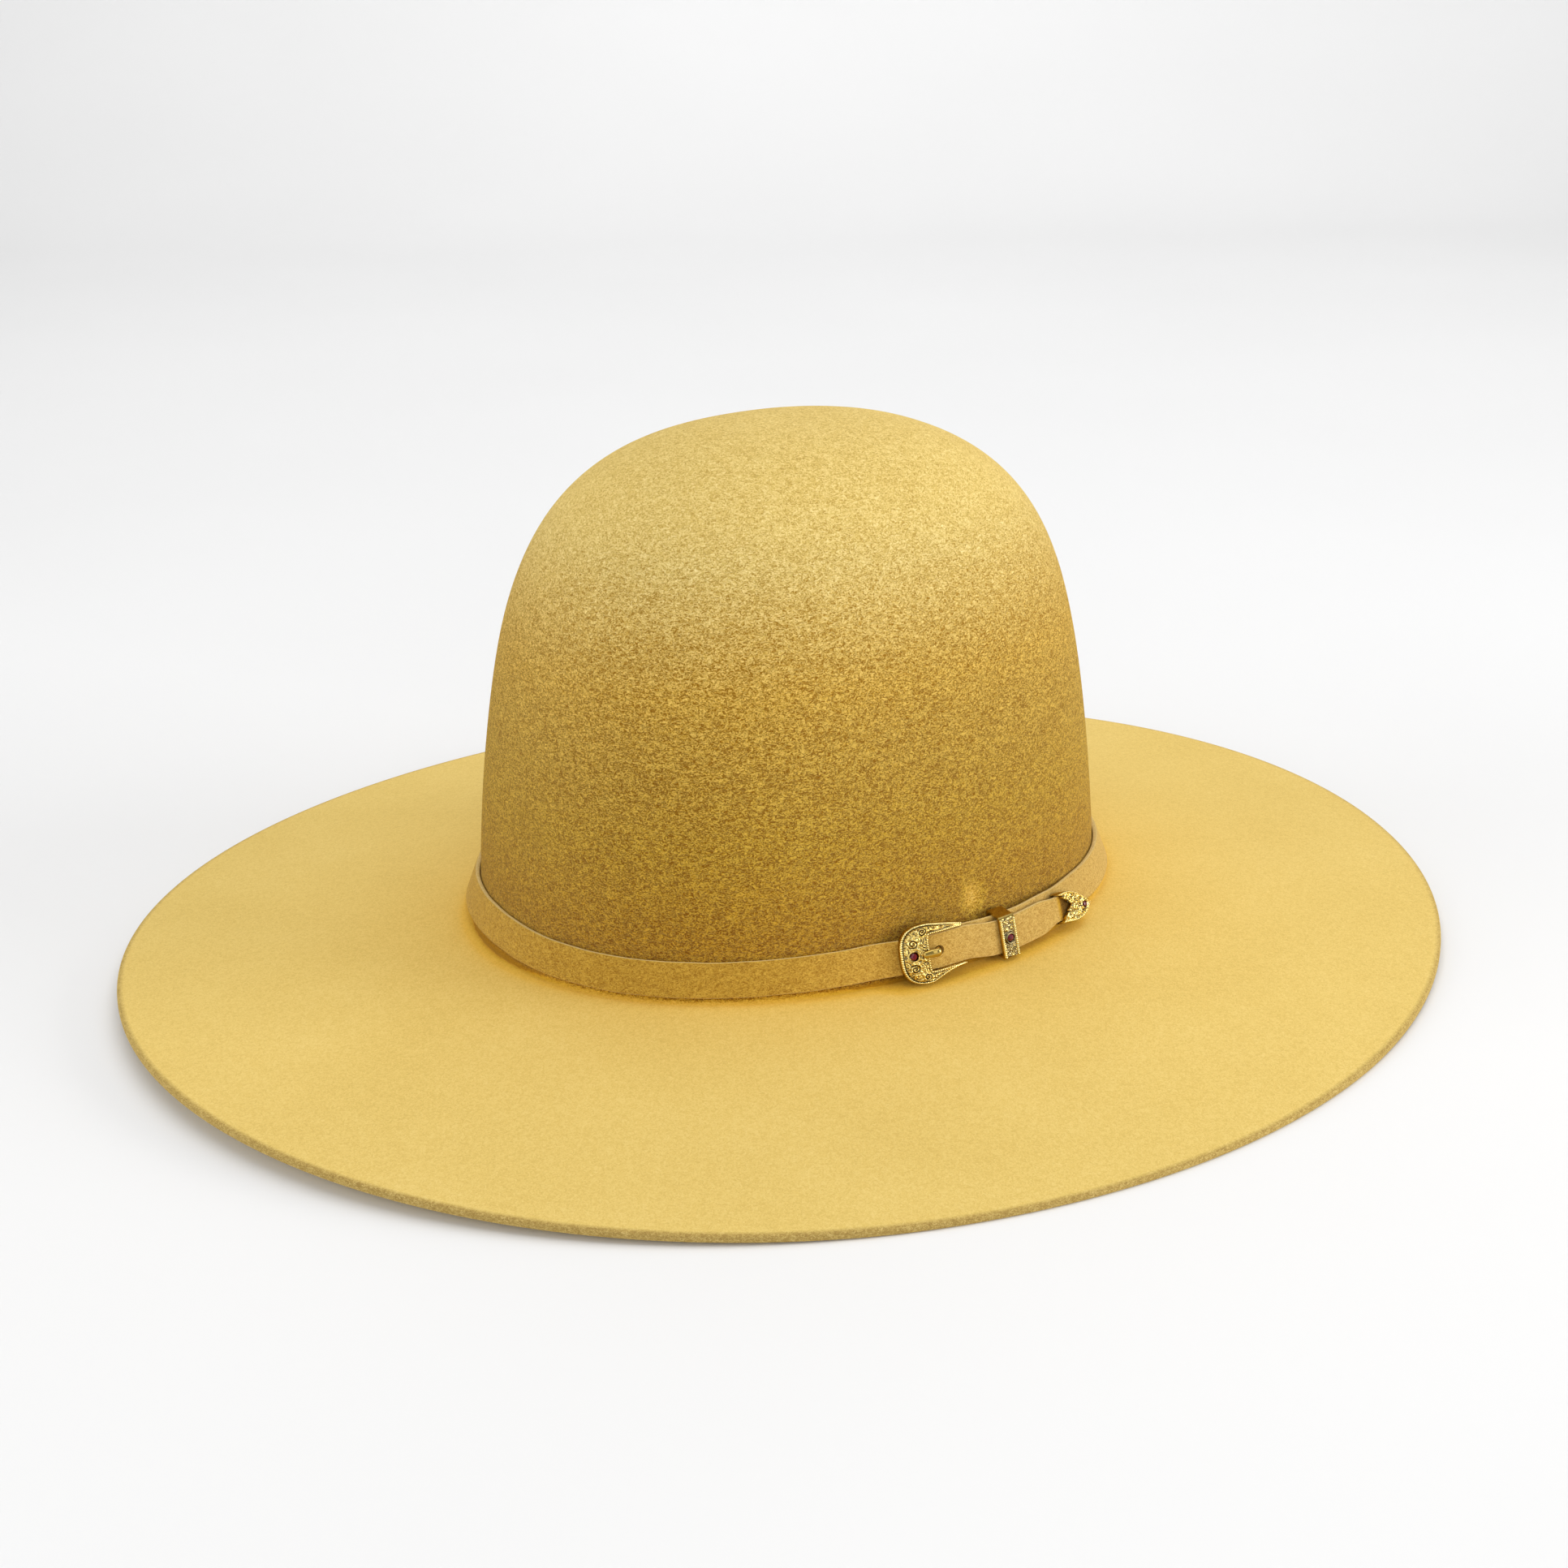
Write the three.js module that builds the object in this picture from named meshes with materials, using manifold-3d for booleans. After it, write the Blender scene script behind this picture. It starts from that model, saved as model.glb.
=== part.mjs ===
// A wide-brimmed felt hat with a tall, uncreased crown. A narrow felt strap is buckled round the crown
// as its hat band, with a three-piece set of cast metal: a buckle with its prong, a keeper loop and a
// pointed strap tip, each set with one cut stone.
//
// Millimetres, +Z up. The origin is on the surface that the hat stands on, below the middle of its brim.
// The front of the hat faces -Y, and the buckle is on the wearer's left, at +X.

import * as THREE from "three";
import { mergeVertices } from "three/addons/utils/BufferGeometryUtils.js";
import Module from "manifold-3d";

const wasm = await Module();
wasm.setup();

// Crown. Its foot is where the lower edge of the hat band lies.
const crownFootLength = 208;
const crownFootWidth = 169;
const crownFootSquareness = 2.26;
const crownHeight = 139;
const crownShoulder = 5.4;
const crownDome = 2.68;
const crownTaper = 0.18;
const crownTaperPower = 1.3;
const crownLean = 2.3;
const crownWall = 2.2;

// Brim. It drops from the crown to its sides, which lie on the surface, and rises at front and back.
const brimLength = 430.7;
const brimWidth = 392.6;
const brimThickness = 2.4;
const brimEdgeRound = 0.5;
const brimBreakRadius = 1.15;
const brimDrop = 12.2;
const brimDropPower = 0.85;
const brimFrontRise = 6.2;
const brimBackRise = 4.4;
const brimRisePower = 2.25;
const brimRestDepth = 0.6;

// Hat band: one strap, which lies on the flared foot of the crown and overlaps itself behind the buckle.
const bandWidth = 10.3;
const bandThickness = 1.6;
const bandFlare = 3.53;
const bandAboveBrim = 2.1;
const bandCornerRound = 0.35;
const strapFoldWall = 1;
const strapRunOut = 8.2;
const strapTaperLength = 9;
const strapEndRoom = 2.4;

// The overlap stands more upright than the crown behind it, and its layers hang a little low.
const bandStandAngle = THREE.MathUtils.degToRad(8);
const bandStandFade = 26;
const baseDroop = 0.35;
const billetDroop = 1.2;

// Places along the band, from the hat's widest point towards its back.
const barAt = 0.2;
const keeperAt = 24;
const tipMouthAt = 46.4;

// Clearance between pieces that touch on the real hat.
const clearance = 0.3;

// Buckle frame: a crescent heel whose two arms taper along the edges of the strap.
const frameHalfHeight = 9;
const heelLength = 8.2;
const heelToBar = 5;
const armLength = 8;
const armTipWidth = 1.1;
const armTipDrop = 0.8;
const armSweep = 0.8;
const frameThickness = 1.3;
const frameRise = 0.4;
const frameDrop = 0.3;
const frameOuterSquareness = 2.7;
const frameInnerSquareness = 3.4;
const rimHeight = 0.35;
const barRadius = 0.4;
const postWidth = 1.2;

// Prong, whose eye turns on the bar. It rises through a hole in the strap and rests on the heel.
const prongWidth = 1.7;
const prongThickness = 1.2;
const prongEndShare = 0.75;
const prongHoleLength = 3.2;
const prongHoleWidth = 2.6;
const prongOverHeel = 1.6;

// Keeper loop, round both layers of the strap.
const keeperWidth = 5.6;
const keeperWall = 0.7;
const keeperFaceThickness = 1.1;
const keeperRoom = 0.6;
const keeperSlump = 2;
const keeperCornerRound = 0.9;

// Strap tip: a thin cap with a notched mouth that ends in a point.
const tipLength = 14.8;
const tipHalfHeight = 5.2;
const tipRoundness = 0.8;
const tipMouthFullness = 0.9;
const tipPointFullness = 1.45;
const tipNotch = 5.6;
const tipFaceThickness = 1;
const tipBackThickness = 0.5;
const tipWall = 0.45;
const tipStandAway = 1;
const tipDroop = 2.4;

// Cut stones, each in a round socket with a raised lip.
const stoneRadius = 1.15;
const tipStoneRadius = 0.9;
const stoneFacets = 8;
const stoneClearance = 0.15;
const socketLip = 0.5;
const socketLipHeight = 0.3;
const buckleStoneShare = 0.42;
const tipStoneShare = 0.77;

// How finely the curved walls are divided.
const ringPoints = 64;
const crownSideRings = 5;
const crownSideTop = 0.66;
const crownShoulderRings = 9;
const brimBreakSteps = 2;
const brimRings = 5;
const brimRingSpread = 0.8;
const brimEdgeRing = 7.2;
const bandTableSteps = 1440;
const strapStep = 8;
const strapOverlapStep = 2.5;
const strapTipStep = 1.7;
const frameStations = 40;
const armStationShare = 0.3;
const prongStations = 16;
const prongSides = 10;
const keeperCornerSteps = 3;
const tipStations = 10;
const roundSides = 12;

const fullTurn = 2 * Math.PI;
const { lerp, clamp, smoothstep, euclideanModulo } = THREE.MathUtils;

function plainMaterial(color, roughness, metalness) {
  return new THREE.MeshStandardMaterial({ color, roughness, metalness });
}

const feltMaterial = plainMaterial(0xb98b3e, 0.95, 0);
const bandMaterial = plainMaterial(0xc9a463, 0.95, 0);
const metalMaterial = plainMaterial(0xd8b25c, 0.25, 1);
const stoneMaterial = plainMaterial(0x7a0f1e, 0.08, 0);

function middleOf(points) {
  const sum = points.reduce((total, point) => total.add(point), new THREE.Vector3());
  return sum.divideScalar(points.length);
}

// Closed body through rings of equal point counts, closed by a fan at each end.
// Seen from outside, going down the rings and then along one turns anticlockwise.
function loft(rings, startPoint = middleOf(rings[0]), endPoint = middleOf(rings[rings.length - 1])) {
  const count = rings[0].length;
  const points = [...rings.flat(), startPoint, endPoint];
  const start = points.length - 2;
  const end = points.length - 1;
  const last = (rings.length - 1) * count;
  const faces = [];
  for (let j = 0; j < count; j++) {
    const next = (j + 1) % count;
    faces.push(start, j, next);
    faces.push(end, last + next, last + j);
    for (let i = 0; i + 1 < rings.length; i++) {
      const here = i * count;
      const below = here + count;
      faces.push(here + j, below + j, below + next);
      faces.push(here + j, below + next, here + next);
    }
  }
  const geometry = new THREE.BufferGeometry().setFromPoints(points);
  geometry.setIndex(faces);
  return geometry;
}

function solidOf(geometry) {
  const bare = geometry.clone();
  bare.deleteAttribute("normal");
  bare.deleteAttribute("uv");
  const merged = mergeVertices(bare, 1e-4);
  return new wasm.Manifold(
    new wasm.Mesh({
      numProp: 3,
      vertProperties: new Float32Array(merged.attributes.position.array),
      triVerts: new Uint32Array(merged.index.array),
    }),
  );
}

function geometryOf(solid) {
  const mesh = solid.getMesh();
  const geometry = new THREE.BufferGeometry();
  geometry.setAttribute("position", new THREE.BufferAttribute(mesh.vertProperties, mesh.numProp));
  geometry.setIndex(new THREE.BufferAttribute(mesh.triVerts, 1));
  return geometry;
}

function join(first, ...others) {
  return geometryOf(others.reduce((whole, other) => whole.add(solidOf(other)), solidOf(first)));
}

function cut(first, ...others) {
  return geometryOf(others.reduce((whole, other) => whole.subtract(solidOf(other)), solidOf(first)));
}

// Point of an oval, at an angle that starts at the front and turns by the wearer's left.
function ovalPoint(halfLength, halfWidth, squareness, angle) {
  const power = 2 / squareness;
  const side = Math.sin(angle);
  const front = Math.cos(angle);
  return {
    x: halfWidth * Math.sign(side) * Math.abs(side) ** power,
    y: -halfLength * Math.sign(front) * Math.abs(front) ** power,
  };
}

// Heights of the felt's upper side at the brim's edge and where the brim meets the crown.
const brimSideTop = brimThickness - brimRestDepth;
const brimBreakTop = brimSideTop + brimDrop;
const bandBottom = brimBreakTop + bandAboveBrim;
const flareAngle = Math.asin(bandFlare / bandWidth);
const bandTop = bandBottom + bandWidth * Math.cos(flareAngle);

// How far the brim's edge rises at an angle round the hat: nothing at the sides.
function edgeRise(angle) {
  const front = Math.cos(angle);
  return lerp(brimBackRise, brimFrontRise, (1 + front) / 2) * Math.abs(front) ** brimRisePower;
}

// One ring of the crown's outer side: its foot's outline, grown or shrunk, at a height.
function crownOutline({ grow, height, share = 1, back = 0 }) {
  const halfLength = (crownFootLength / 2 + grow) * share;
  const halfWidth = (crownFootWidth / 2 + grow) * share;
  const points = Array.from({ length: ringPoints }, (_, k) => {
    const { x, y } = ovalPoint(halfLength, halfWidth, crownFootSquareness, (k / ringPoints) * fullTurn);
    return new THREE.Vector3(x, y + back, height);
  });
  return { points, thickness: crownWall };
}

// A ring of the crown above the band, from 0 at the band to 1 at the top.
function crownRing(up) {
  const taper = 1 - crownTaper * up ** crownTaperPower;
  return crownOutline({
    grow: -bandFlare,
    height: bandTop + up * crownHeight,
    share: taper * (1 - up ** crownShoulder) ** (1 / crownDome),
    back: crownLean * up * up,
  });
}

function crownRings() {
  const shoulderStart = Math.acos(crownSideTop ** (crownShoulder / 2));
  const rings = [];
  for (let k = 1; k <= crownShoulderRings; k++) {
    const angle = (k / crownShoulderRings) * shoulderStart;
    rings.push(crownRing(Math.cos(angle) ** (2 / crownShoulder)));
  }
  for (let k = crownSideRings - 1; k >= 0; k--) {
    rings.push(crownRing((k / crownSideRings) * crownSideTop));
  }
  return rings;
}

// The flared foot under the band, and the small inward curve where it meets the brim.
const breakGrow = bandAboveBrim * Math.tan(flareAngle);
const brimInnerGrow = breakGrow + brimBreakRadius;

function footRings() {
  const rings = [
    crownOutline({ grow: -bandFlare / 2, height: (bandBottom + bandTop) / 2 }),
    crownOutline({ grow: 0, height: bandBottom }),
  ];
  for (let k = 0; k <= brimBreakSteps; k++) {
    const turn = k / brimBreakSteps;
    const above = brimBreakRadius * (1 - turn) ** 2;
    const outside = brimBreakRadius * turn ** 2;
    rings.push(crownOutline({
      grow: breakGrow - above * Math.sin(flareAngle) + outside,
      height: brimBreakTop + above * Math.cos(flareAngle),
    }));
  }
  return rings;
}

// A ring of the brim's upper side, from 0 at the crown to 1 at the edge.
function brimRing(share, inset = 0) {
  const halfLength = lerp(crownFootLength / 2 + brimInnerGrow, brimLength / 2 - inset, share);
  const halfWidth = lerp(crownFootWidth / 2 + brimInnerGrow, brimWidth / 2 - inset, share);
  const squareness = lerp(crownFootSquareness, 2, share);
  const drop = brimDrop * share ** brimDropPower;
  const points = Array.from({ length: ringPoints }, (_, k) => {
    const angle = (k / ringPoints) * fullTurn;
    const { x, y } = ovalPoint(halfLength, halfWidth, squareness, angle);
    return new THREE.Vector3(x, y, brimBreakTop - drop + edgeRise(angle) * share ** 2);
  });
  return { points, thickness: lerp(crownWall, brimThickness, Math.sqrt(share)) };
}

// Where it would reach below the surface that it stands on, the felt is pressed flat.
function pressed(point) {
  return point.setZ(Math.max(point.z, 0));
}

// The under side of the felt: each point of the upper side, moved in by the felt's thickness.
function underSide(upper, top) {
  return upper.map(({ points, thickness }, i) =>
    points.map((point, j) => {
      const before = points[(j + ringPoints - 1) % ringPoints];
      const after = points[(j + 1) % ringPoints];
      const above = i > 0 ? upper[i - 1].points[j] : top;
      const below = i + 1 < upper.length ? upper[i + 1].points[j] : point;
      const along = new THREE.Vector3().subVectors(after, before);
      const outward = new THREE.Vector3().subVectors(below, above).cross(along).normalize();
      return pressed(point.clone().addScaledVector(outward, -thickness));
    }),
  );
}

// The felt, crown and brim in one: an upper skin, a raw edge and an under skin.
function feltBody() {
  const top = new THREE.Vector3(0, crownLean, bandTop + crownHeight);
  const upper = [...crownRings(), ...footRings()];
  for (let k = 1; k <= brimRings; k++) {
    upper.push(brimRing((k / (brimRings + 1)) ** brimRingSpread));
  }
  upper.push(brimRing(1 - brimEdgeRing / brimWidth, brimEdgeRound));
  upper.push(brimRing(1, brimEdgeRound));
  const under = underSide(upper, top);

  const outline = brimRing(1).points;
  const edgeTop = upper[upper.length - 1].points;
  const edgeUnder = under[under.length - 1];
  const roundShare = brimEdgeRound / brimThickness;
  const edge = [roundShare, 1 - roundShare].map((share) =>
    outline.map((point, j) => pressed(point.clone().setZ(lerp(edgeTop[j].z, edgeUnder[j].z, share)))),
  );
  const innerTop = top.clone().setZ(top.z - crownWall);
  return loft([...upper.map((ring) => ring.points), ...edge, ...under.reverse()], top, innerTop);
}

// The band's own space: x runs along the band, y up across it from its middle, and z out from the crown.
const halfBand = bandWidth / 2;

// Angles round the crown against the distance along the middle of the band, from the widest point.
function measuredBand() {
  const halfLength = (crownFootLength - bandFlare) / 2;
  const halfWidth = (crownFootWidth - bandFlare) / 2;
  const start = { angle: Math.PI / 2, distance: 0, x: halfWidth, y: 0 };
  const rows = [start];
  for (let k = 1; k <= bandTableSteps; k++) {
    const angle = start.angle + (k / bandTableSteps) * fullTurn;
    const { x, y } = ovalPoint(halfLength, halfWidth, crownFootSquareness, angle);
    const previous = rows[rows.length - 1];
    rows.push({ angle, distance: previous.distance + Math.hypot(x - previous.x, y - previous.y), x, y });
  }
  return rows;
}

const bandTable = measuredBand();
const bandLength = bandTable[bandTableSteps].distance;

function bandAngle(along) {
  const wrapped = euclideanModulo(along, bandLength);
  let low = 0;
  let high = bandTableSteps;
  while (high - low > 1) {
    const middle = Math.floor((low + high) / 2);
    if (bandTable[middle].distance <= wrapped) low = middle;
    else high = middle;
  }
  const from = bandTable[low];
  const to = bandTable[high];
  return lerp(from.angle, to.angle, (wrapped - from.distance) / (to.distance - from.distance));
}

// How far the band stands upright at a place: all of it between the buckle and the strap tip.
function standShare(along) {
  const wrapped = euclideanModulo(along + bandLength / 2, bandLength) - bandLength / 2;
  const rise = smoothstep(wrapped, barAt - bandStandFade, barAt);
  return rise * (1 - smoothstep(wrapped, tipMouthAt, tipMouthAt + bandStandFade));
}

// A point of the band's space in the hat's own.
function onBand({ x: along, y: across, z: out }) {
  const up = across + halfBand;
  const shrink = up * Math.sin(flareAngle);
  const halfLength = crownFootLength / 2 - shrink;
  const halfWidth = crownFootWidth / 2 - shrink;
  const { x, y } = ovalPoint(halfLength, halfWidth, crownFootSquareness, bandAngle(along));
  const power = crownFootSquareness - 1;
  const normal = new THREE.Vector3(
    (Math.sign(x) * Math.abs(x / halfWidth) ** power) / halfWidth,
    (Math.sign(y) * Math.abs(y / halfLength) ** power) / halfLength,
    0,
  ).normalize();
  normal.multiplyScalar(Math.cos(flareAngle)).setZ(Math.sin(flareAngle));
  const stand = Math.tan(bandStandAngle) * standShare(along) * up;
  const height = bandBottom + up * Math.cos(flareAngle);
  return new THREE.Vector3(x, y, height).addScaledVector(normal, out + stand);
}

function wrapOnBand(geometry) {
  const wrapped = geometry.clone();
  const position = wrapped.attributes.position;
  const point = new THREE.Vector3();
  for (let i = 0; i < position.count; i++) {
    position.setXYZ(i, ...onBand(point.fromBufferAttribute(position, i)).toArray());
  }
  return wrapped;
}

// Smooth curve through rows of a place along the band and a value there.
function throughRows(rows, along) {
  if (along <= rows[0].at) return rows[0].value;
  for (let i = 0; i + 1 < rows.length; i++) {
    const from = rows[i];
    const to = rows[i + 1];
    if (along <= to.at) return lerp(from.value, to.value, smoothstep(along, from.at, to.at));
  }
  return rows[rows.length - 1].value;
}

// Depths of the layers over the crown, from the crown outwards.
const eyeRadius = barRadius + clearance + strapFoldWall;
const barDepth = clearance + eyeRadius;
const billetOverBar = barDepth + eyeRadius + clearance;
const keeperBack = clearance + keeperWall;
const baseUnderKeeper = keeperBack + clearance;
const billetUnderKeeper = baseUnderKeeper + bandThickness + clearance;
const tipBackOut = clearance + bandThickness + clearance;
const billetInTip = tipBackOut + tipBackThickness + clearance;

// Places along the band that follow from the sizes.
const heelInnerAt = barAt - heelToBar;
const heelOuterAt = heelInnerAt - heelLength;
const strapJoinsAt = heelOuterAt - strapRunOut;
const armTipAt = barAt + armLength;
const tipPointAt = tipMouthAt + tipLength;

// Inner face of the strap's first end, under the overlap.
const baseDepthRows = [
  { at: barAt + 2 * eyeRadius, value: clearance },
  { at: keeperAt - keeperWidth, value: baseUnderKeeper },
  { at: keeperAt + keeperWidth, value: baseUnderKeeper },
  { at: tipMouthAt - clearance, value: clearance },
];

// Inner face of the strap's free end, over the bar, the base, the keeper's back and the tip's back.
const billetDepthRows = [
  { at: strapJoinsAt, value: clearance },
  { at: barAt - eyeRadius, value: billetOverBar },
  { at: barAt + eyeRadius, value: billetOverBar },
  { at: keeperAt - keeperWidth, value: billetUnderKeeper },
  { at: keeperAt + keeperWidth, value: billetUnderKeeper },
  { at: tipMouthAt, value: billetInTip },
  { at: tipPointAt, value: billetInTip + tipStandAway },
];

// How high the middle of each layer lies.
const baseMiddleRows = [
  { at: armTipAt, value: 0 },
  { at: keeperAt, value: -baseDroop },
  { at: tipMouthAt, value: 0 },
];
const billetMiddleRows = [
  { at: strapJoinsAt, value: 0 },
  { at: heelInnerAt, value: -frameDrop },
  { at: armTipAt, value: -frameDrop },
  { at: keeperAt - keeperWidth / 2, value: -billetDroop },
  { at: tipMouthAt, value: -billetDroop },
  { at: tipPointAt, value: -billetDroop - tipDroop },
];
const baseDepth = (along) => throughRows(baseDepthRows, along);
const billetDepth = (along) => throughRows(billetDepthRows, along);
const baseMiddle = (along) => throughRows(baseMiddleRows, along);
const billetMiddle = (along) => throughRows(billetMiddleRows, along);

// Outline of the strap tip, as half its height from its mouth to its point.
function tipHalf(share) {
  const along = clamp(share, 0, 1);
  const round = Math.cos((along * Math.PI) / 2) ** tipRoundness;
  return tipHalfHeight * round * lerp(tipMouthFullness, tipPointFullness, along);
}

// Section across the strap, with its long corners rounded off.
function strapSection(along, depth, middle, half) {
  const round = Math.min(bandCornerRound, half / 2);
  const outline = [
    { y: -half, z: round },
    { y: -half, z: bandThickness - round },
    { y: -half + round, z: bandThickness },
    { y: half - round, z: bandThickness },
    { y: half, z: bandThickness - round },
    { y: half, z: round },
    { y: half - round, z: 0 },
    { y: -half + round, z: 0 },
  ];
  return outline.map(({ y, z }) => new THREE.Vector3(along, middle + y, depth + z));
}

function evenSteps(from, to, step) {
  const count = Math.max(1, Math.round((to - from) / step));
  return Array.from({ length: count + 1 }, (_, k) => lerp(from, to, k / count));
}

// A round bar along the strap's width, from one place across it to another.
function acrossBar(radius, along, depth, from, to) {
  const bar = new THREE.CylinderGeometry(radius, radius, to - from, roundSides);
  return bar.translate(along, (from + to) / 2, depth);
}

// A round bar that points out from the crown, between two depths.
function outwardBar(radius, sides, x, y, from, to) {
  const bar = new THREE.CylinderGeometry(radius, radius, to - from, sides);
  return bar.rotateX(Math.PI / 2).translate(x, y, (from + to) / 2);
}

function block(from, to) {
  const size = new THREE.Vector3().subVectors(to, from);
  const middle = new THREE.Vector3().addVectors(from, to).divideScalar(2);
  return new THREE.BoxGeometry(size.x, size.y, size.z).translate(middle.x, middle.y, middle.z);
}

// The strap: from its fold round the bar, once round the crown, over the bar again and into the tip.
function hatBand() {
  const baseStart = barAt + barRadius + clearance + strapFoldWall / 2;
  const joins = bandLength + strapJoinsAt;
  const mouth = bandLength + tipMouthAt;
  const taperStart = mouth - strapTaperLength;
  const strapEnd = bandLength + tipPointAt - strapEndRoom;
  const stations = [
    ...evenSteps(baseStart, tipMouthAt, strapOverlapStep),
    ...evenSteps(tipMouthAt, joins, strapStep).slice(1),
    ...evenSteps(joins, taperStart, strapOverlapStep).slice(1),
    ...evenSteps(taperStart, mouth, strapOverlapStep).slice(1),
    ...evenSteps(mouth, strapEnd, strapTipStep).slice(1),
  ];
  const halfAt = (along) => {
    if (along <= taperStart) return halfBand;
    const pocket = tipHalf((along - mouth) / tipLength) - tipWall - clearance;
    if (along >= mouth) return Math.max(pocket, tipWall);
    return lerp(halfBand, pocket, smoothstep(along, taperStart, mouth));
  };
  const sections = stations.map((along) => {
    const back = along - bandLength;
    return along < bandLength / 2
      ? strapSection(along, baseDepth(along), baseMiddle(along), halfAt(along))
      : strapSection(along, billetDepth(back), billetMiddle(back), halfAt(along));
  });
  const slotHalf = prongWidth / 2 + clearance;
  const sleeves = [
    acrossBar(eyeRadius, barAt, barDepth, -halfBand, -frameDrop - slotHalf),
    acrossBar(eyeRadius, barAt, barDepth, -frameDrop + slotHalf, halfBand),
  ];
  const barHole = acrossBar(barRadius + clearance, barAt, barDepth, -bandWidth, bandWidth);
  const slot = block(
    new THREE.Vector3(barAt - 2 * eyeRadius, -frameDrop - slotHalf, -eyeRadius),
    new THREE.Vector3(barAt + eyeRadius + clearance, -frameDrop + slotHalf, billetOverBar - clearance / 2),
  );
  const hole = outwardBar(1, roundSides, 0, 0, barDepth, billetOverBar + 2 * bandThickness)
    .scale(prongHoleLength / 2, prongHoleWidth / 2, 1)
    .translate(bandLength + barAt - eyeRadius / 2, billetMiddle(barAt), 0);
  return cut(join(loft(sections), ...sleeves), barHole, slot, hole);
}

// Back of the buckle frame over the crown: it clears the strap under the heel, then comes down to the tips.
function frameBack(along) {
  const overHeel = billetDepth(heelOuterAt) + bandThickness + clearance;
  const overStrap = billetDepth(heelInnerAt) + bandThickness + clearance;
  const rows = [
    { at: heelOuterAt, value: overHeel + frameRise },
    { at: heelInnerAt, value: overStrap + frameRise },
    { at: armTipAt, value: overStrap - armTipDrop },
  ];
  return throughRows(rows, along);
}

// Section across the frame's face from its outer edge to its inner one: rows of the share across and
// the height as a share of the rim's.
const frameSection = [
  { across: 0, rise: -1.4 },
  { across: 0.03, rise: 0.4 },
  { across: 0.1, rise: 1 },
  { across: 0.18, rise: 0.1 },
  { across: 0.5, rise: 0.7 },
  { across: 0.82, rise: 0.1 },
  { across: 0.9, rise: 1 },
  { across: 0.97, rise: 0.4 },
  { across: 1, rise: -1.4 },
];

// Outer and inner edge of the frame at a share of the way from its upper tip to its lower one.
function frameEdges(share) {
  const side = share < 0.5 ? 1 : -1;
  const fromTip = Math.min(share, 1 - share);
  const innerHalf = halfBand + clearance;
  const heelMiddleAt = heelOuterAt + frameHalfHeight;
  if (fromTip < armStationShare) {
    const along = fromTip / armStationShare;
    const outerHalf = lerp(innerHalf + armTipWidth, frameHalfHeight, along ** armSweep);
    return {
      outer: { x: lerp(armTipAt, heelMiddleAt, along), y: side * outerHalf },
      inner: { x: lerp(armTipAt - armTipWidth / 2, heelInnerAt + armTipWidth, along), y: side * innerHalf },
    };
  }
  const turn = ((fromTip - armStationShare) / (0.5 - armStationShare)) * (Math.PI / 2);
  const outerPower = 2 / frameOuterSquareness;
  const innerPower = 2 / frameInnerSquareness;
  return {
    outer: {
      x: heelMiddleAt - frameHalfHeight * Math.sin(turn) ** outerPower,
      y: side * frameHalfHeight * Math.cos(turn) ** outerPower,
    },
    inner: {
      x: heelInnerAt + armTipWidth * (1 - Math.sin(turn) ** innerPower),
      y: side * innerHalf * Math.cos(turn) ** innerPower,
    },
  };
}

function buckleFrame() {
  const rings = Array.from({ length: frameStations + 1 }, (_, k) => {
    const { outer, inner } = frameEdges(k / frameStations);
    const point = (across, height) => {
      const x = lerp(outer.x, inner.x, across);
      const y = lerp(outer.y, inner.y, across) - frameDrop;
      return new THREE.Vector3(x, y, frameBack(x) + height);
    };
    const front = frameSection.map(({ across, rise }) => point(across, frameThickness + rise * rimHeight));
    const back = [1, 0.5, 0].map((across) => point(across, 0));
    return [...front, ...back];
  });
  return loft(rings);
}

// The bar between the arms, under the strap, and the posts that carry its ends.
function frameBar() {
  const postInner = halfBand + clearance + frameDrop;
  const middle = -frameDrop;
  const posts = [-1, 1].map((side) =>
    block(
      new THREE.Vector3(barAt - postWidth / 2, -postWidth / 2, barDepth - barRadius),
      new THREE.Vector3(barAt + postWidth / 2, postWidth / 2, frameBack(barAt) + frameThickness / 2),
    ).translate(0, middle + side * (postInner + postWidth / 2), 0),
  );
  const barHalf = postInner + postWidth / 2;
  return [acrossBar(barRadius, barAt, barDepth, middle - barHalf, middle + barHalf), ...posts];
}

// Where a stone sits in a face: a hollow for it, inside a lip that stands up round it.
function socket(radius, faceThickness, { x, y, z }) {
  const hollowRadius = radius + stoneClearance;
  const lipTop = z + socketLipHeight;
  const floor = z - faceThickness / 2;
  return {
    lip: outwardBar(hollowRadius + socketLip, roundSides, x, y, floor, lipTop),
    hollow: outwardBar(hollowRadius, 2 * stoneFacets, x, y, floor, lipTop + socketLipHeight),
    floor,
  };
}

// Rows of a brilliant cut from its underside to its flat table. Shares of the stone's radius, and a
// turn in facets.
const stoneRows = [
  { radius: 0.5, height: 1, turn: 0.5 },
  { radius: 0.8, height: 0.85, turn: 0 },
  { radius: 1, height: 0.6, turn: 0.5 },
  { radius: 1, height: 0.5, turn: 0.5 },
  { radius: 0.45, height: 0, turn: 0 },
];

function stoneGeometry(radius, at, floor) {
  const rings = stoneRows.map((row) =>
    Array.from({ length: stoneFacets }, (_, k) => {
      const angle = ((k + row.turn) / stoneFacets) * fullTurn;
      return new THREE.Vector3(
        at.x + row.radius * radius * Math.cos(angle),
        at.y + row.radius * radius * Math.sin(angle),
        floor + stoneClearance + row.height * radius,
      );
    }),
  );
  return loft(rings);
}

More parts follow.
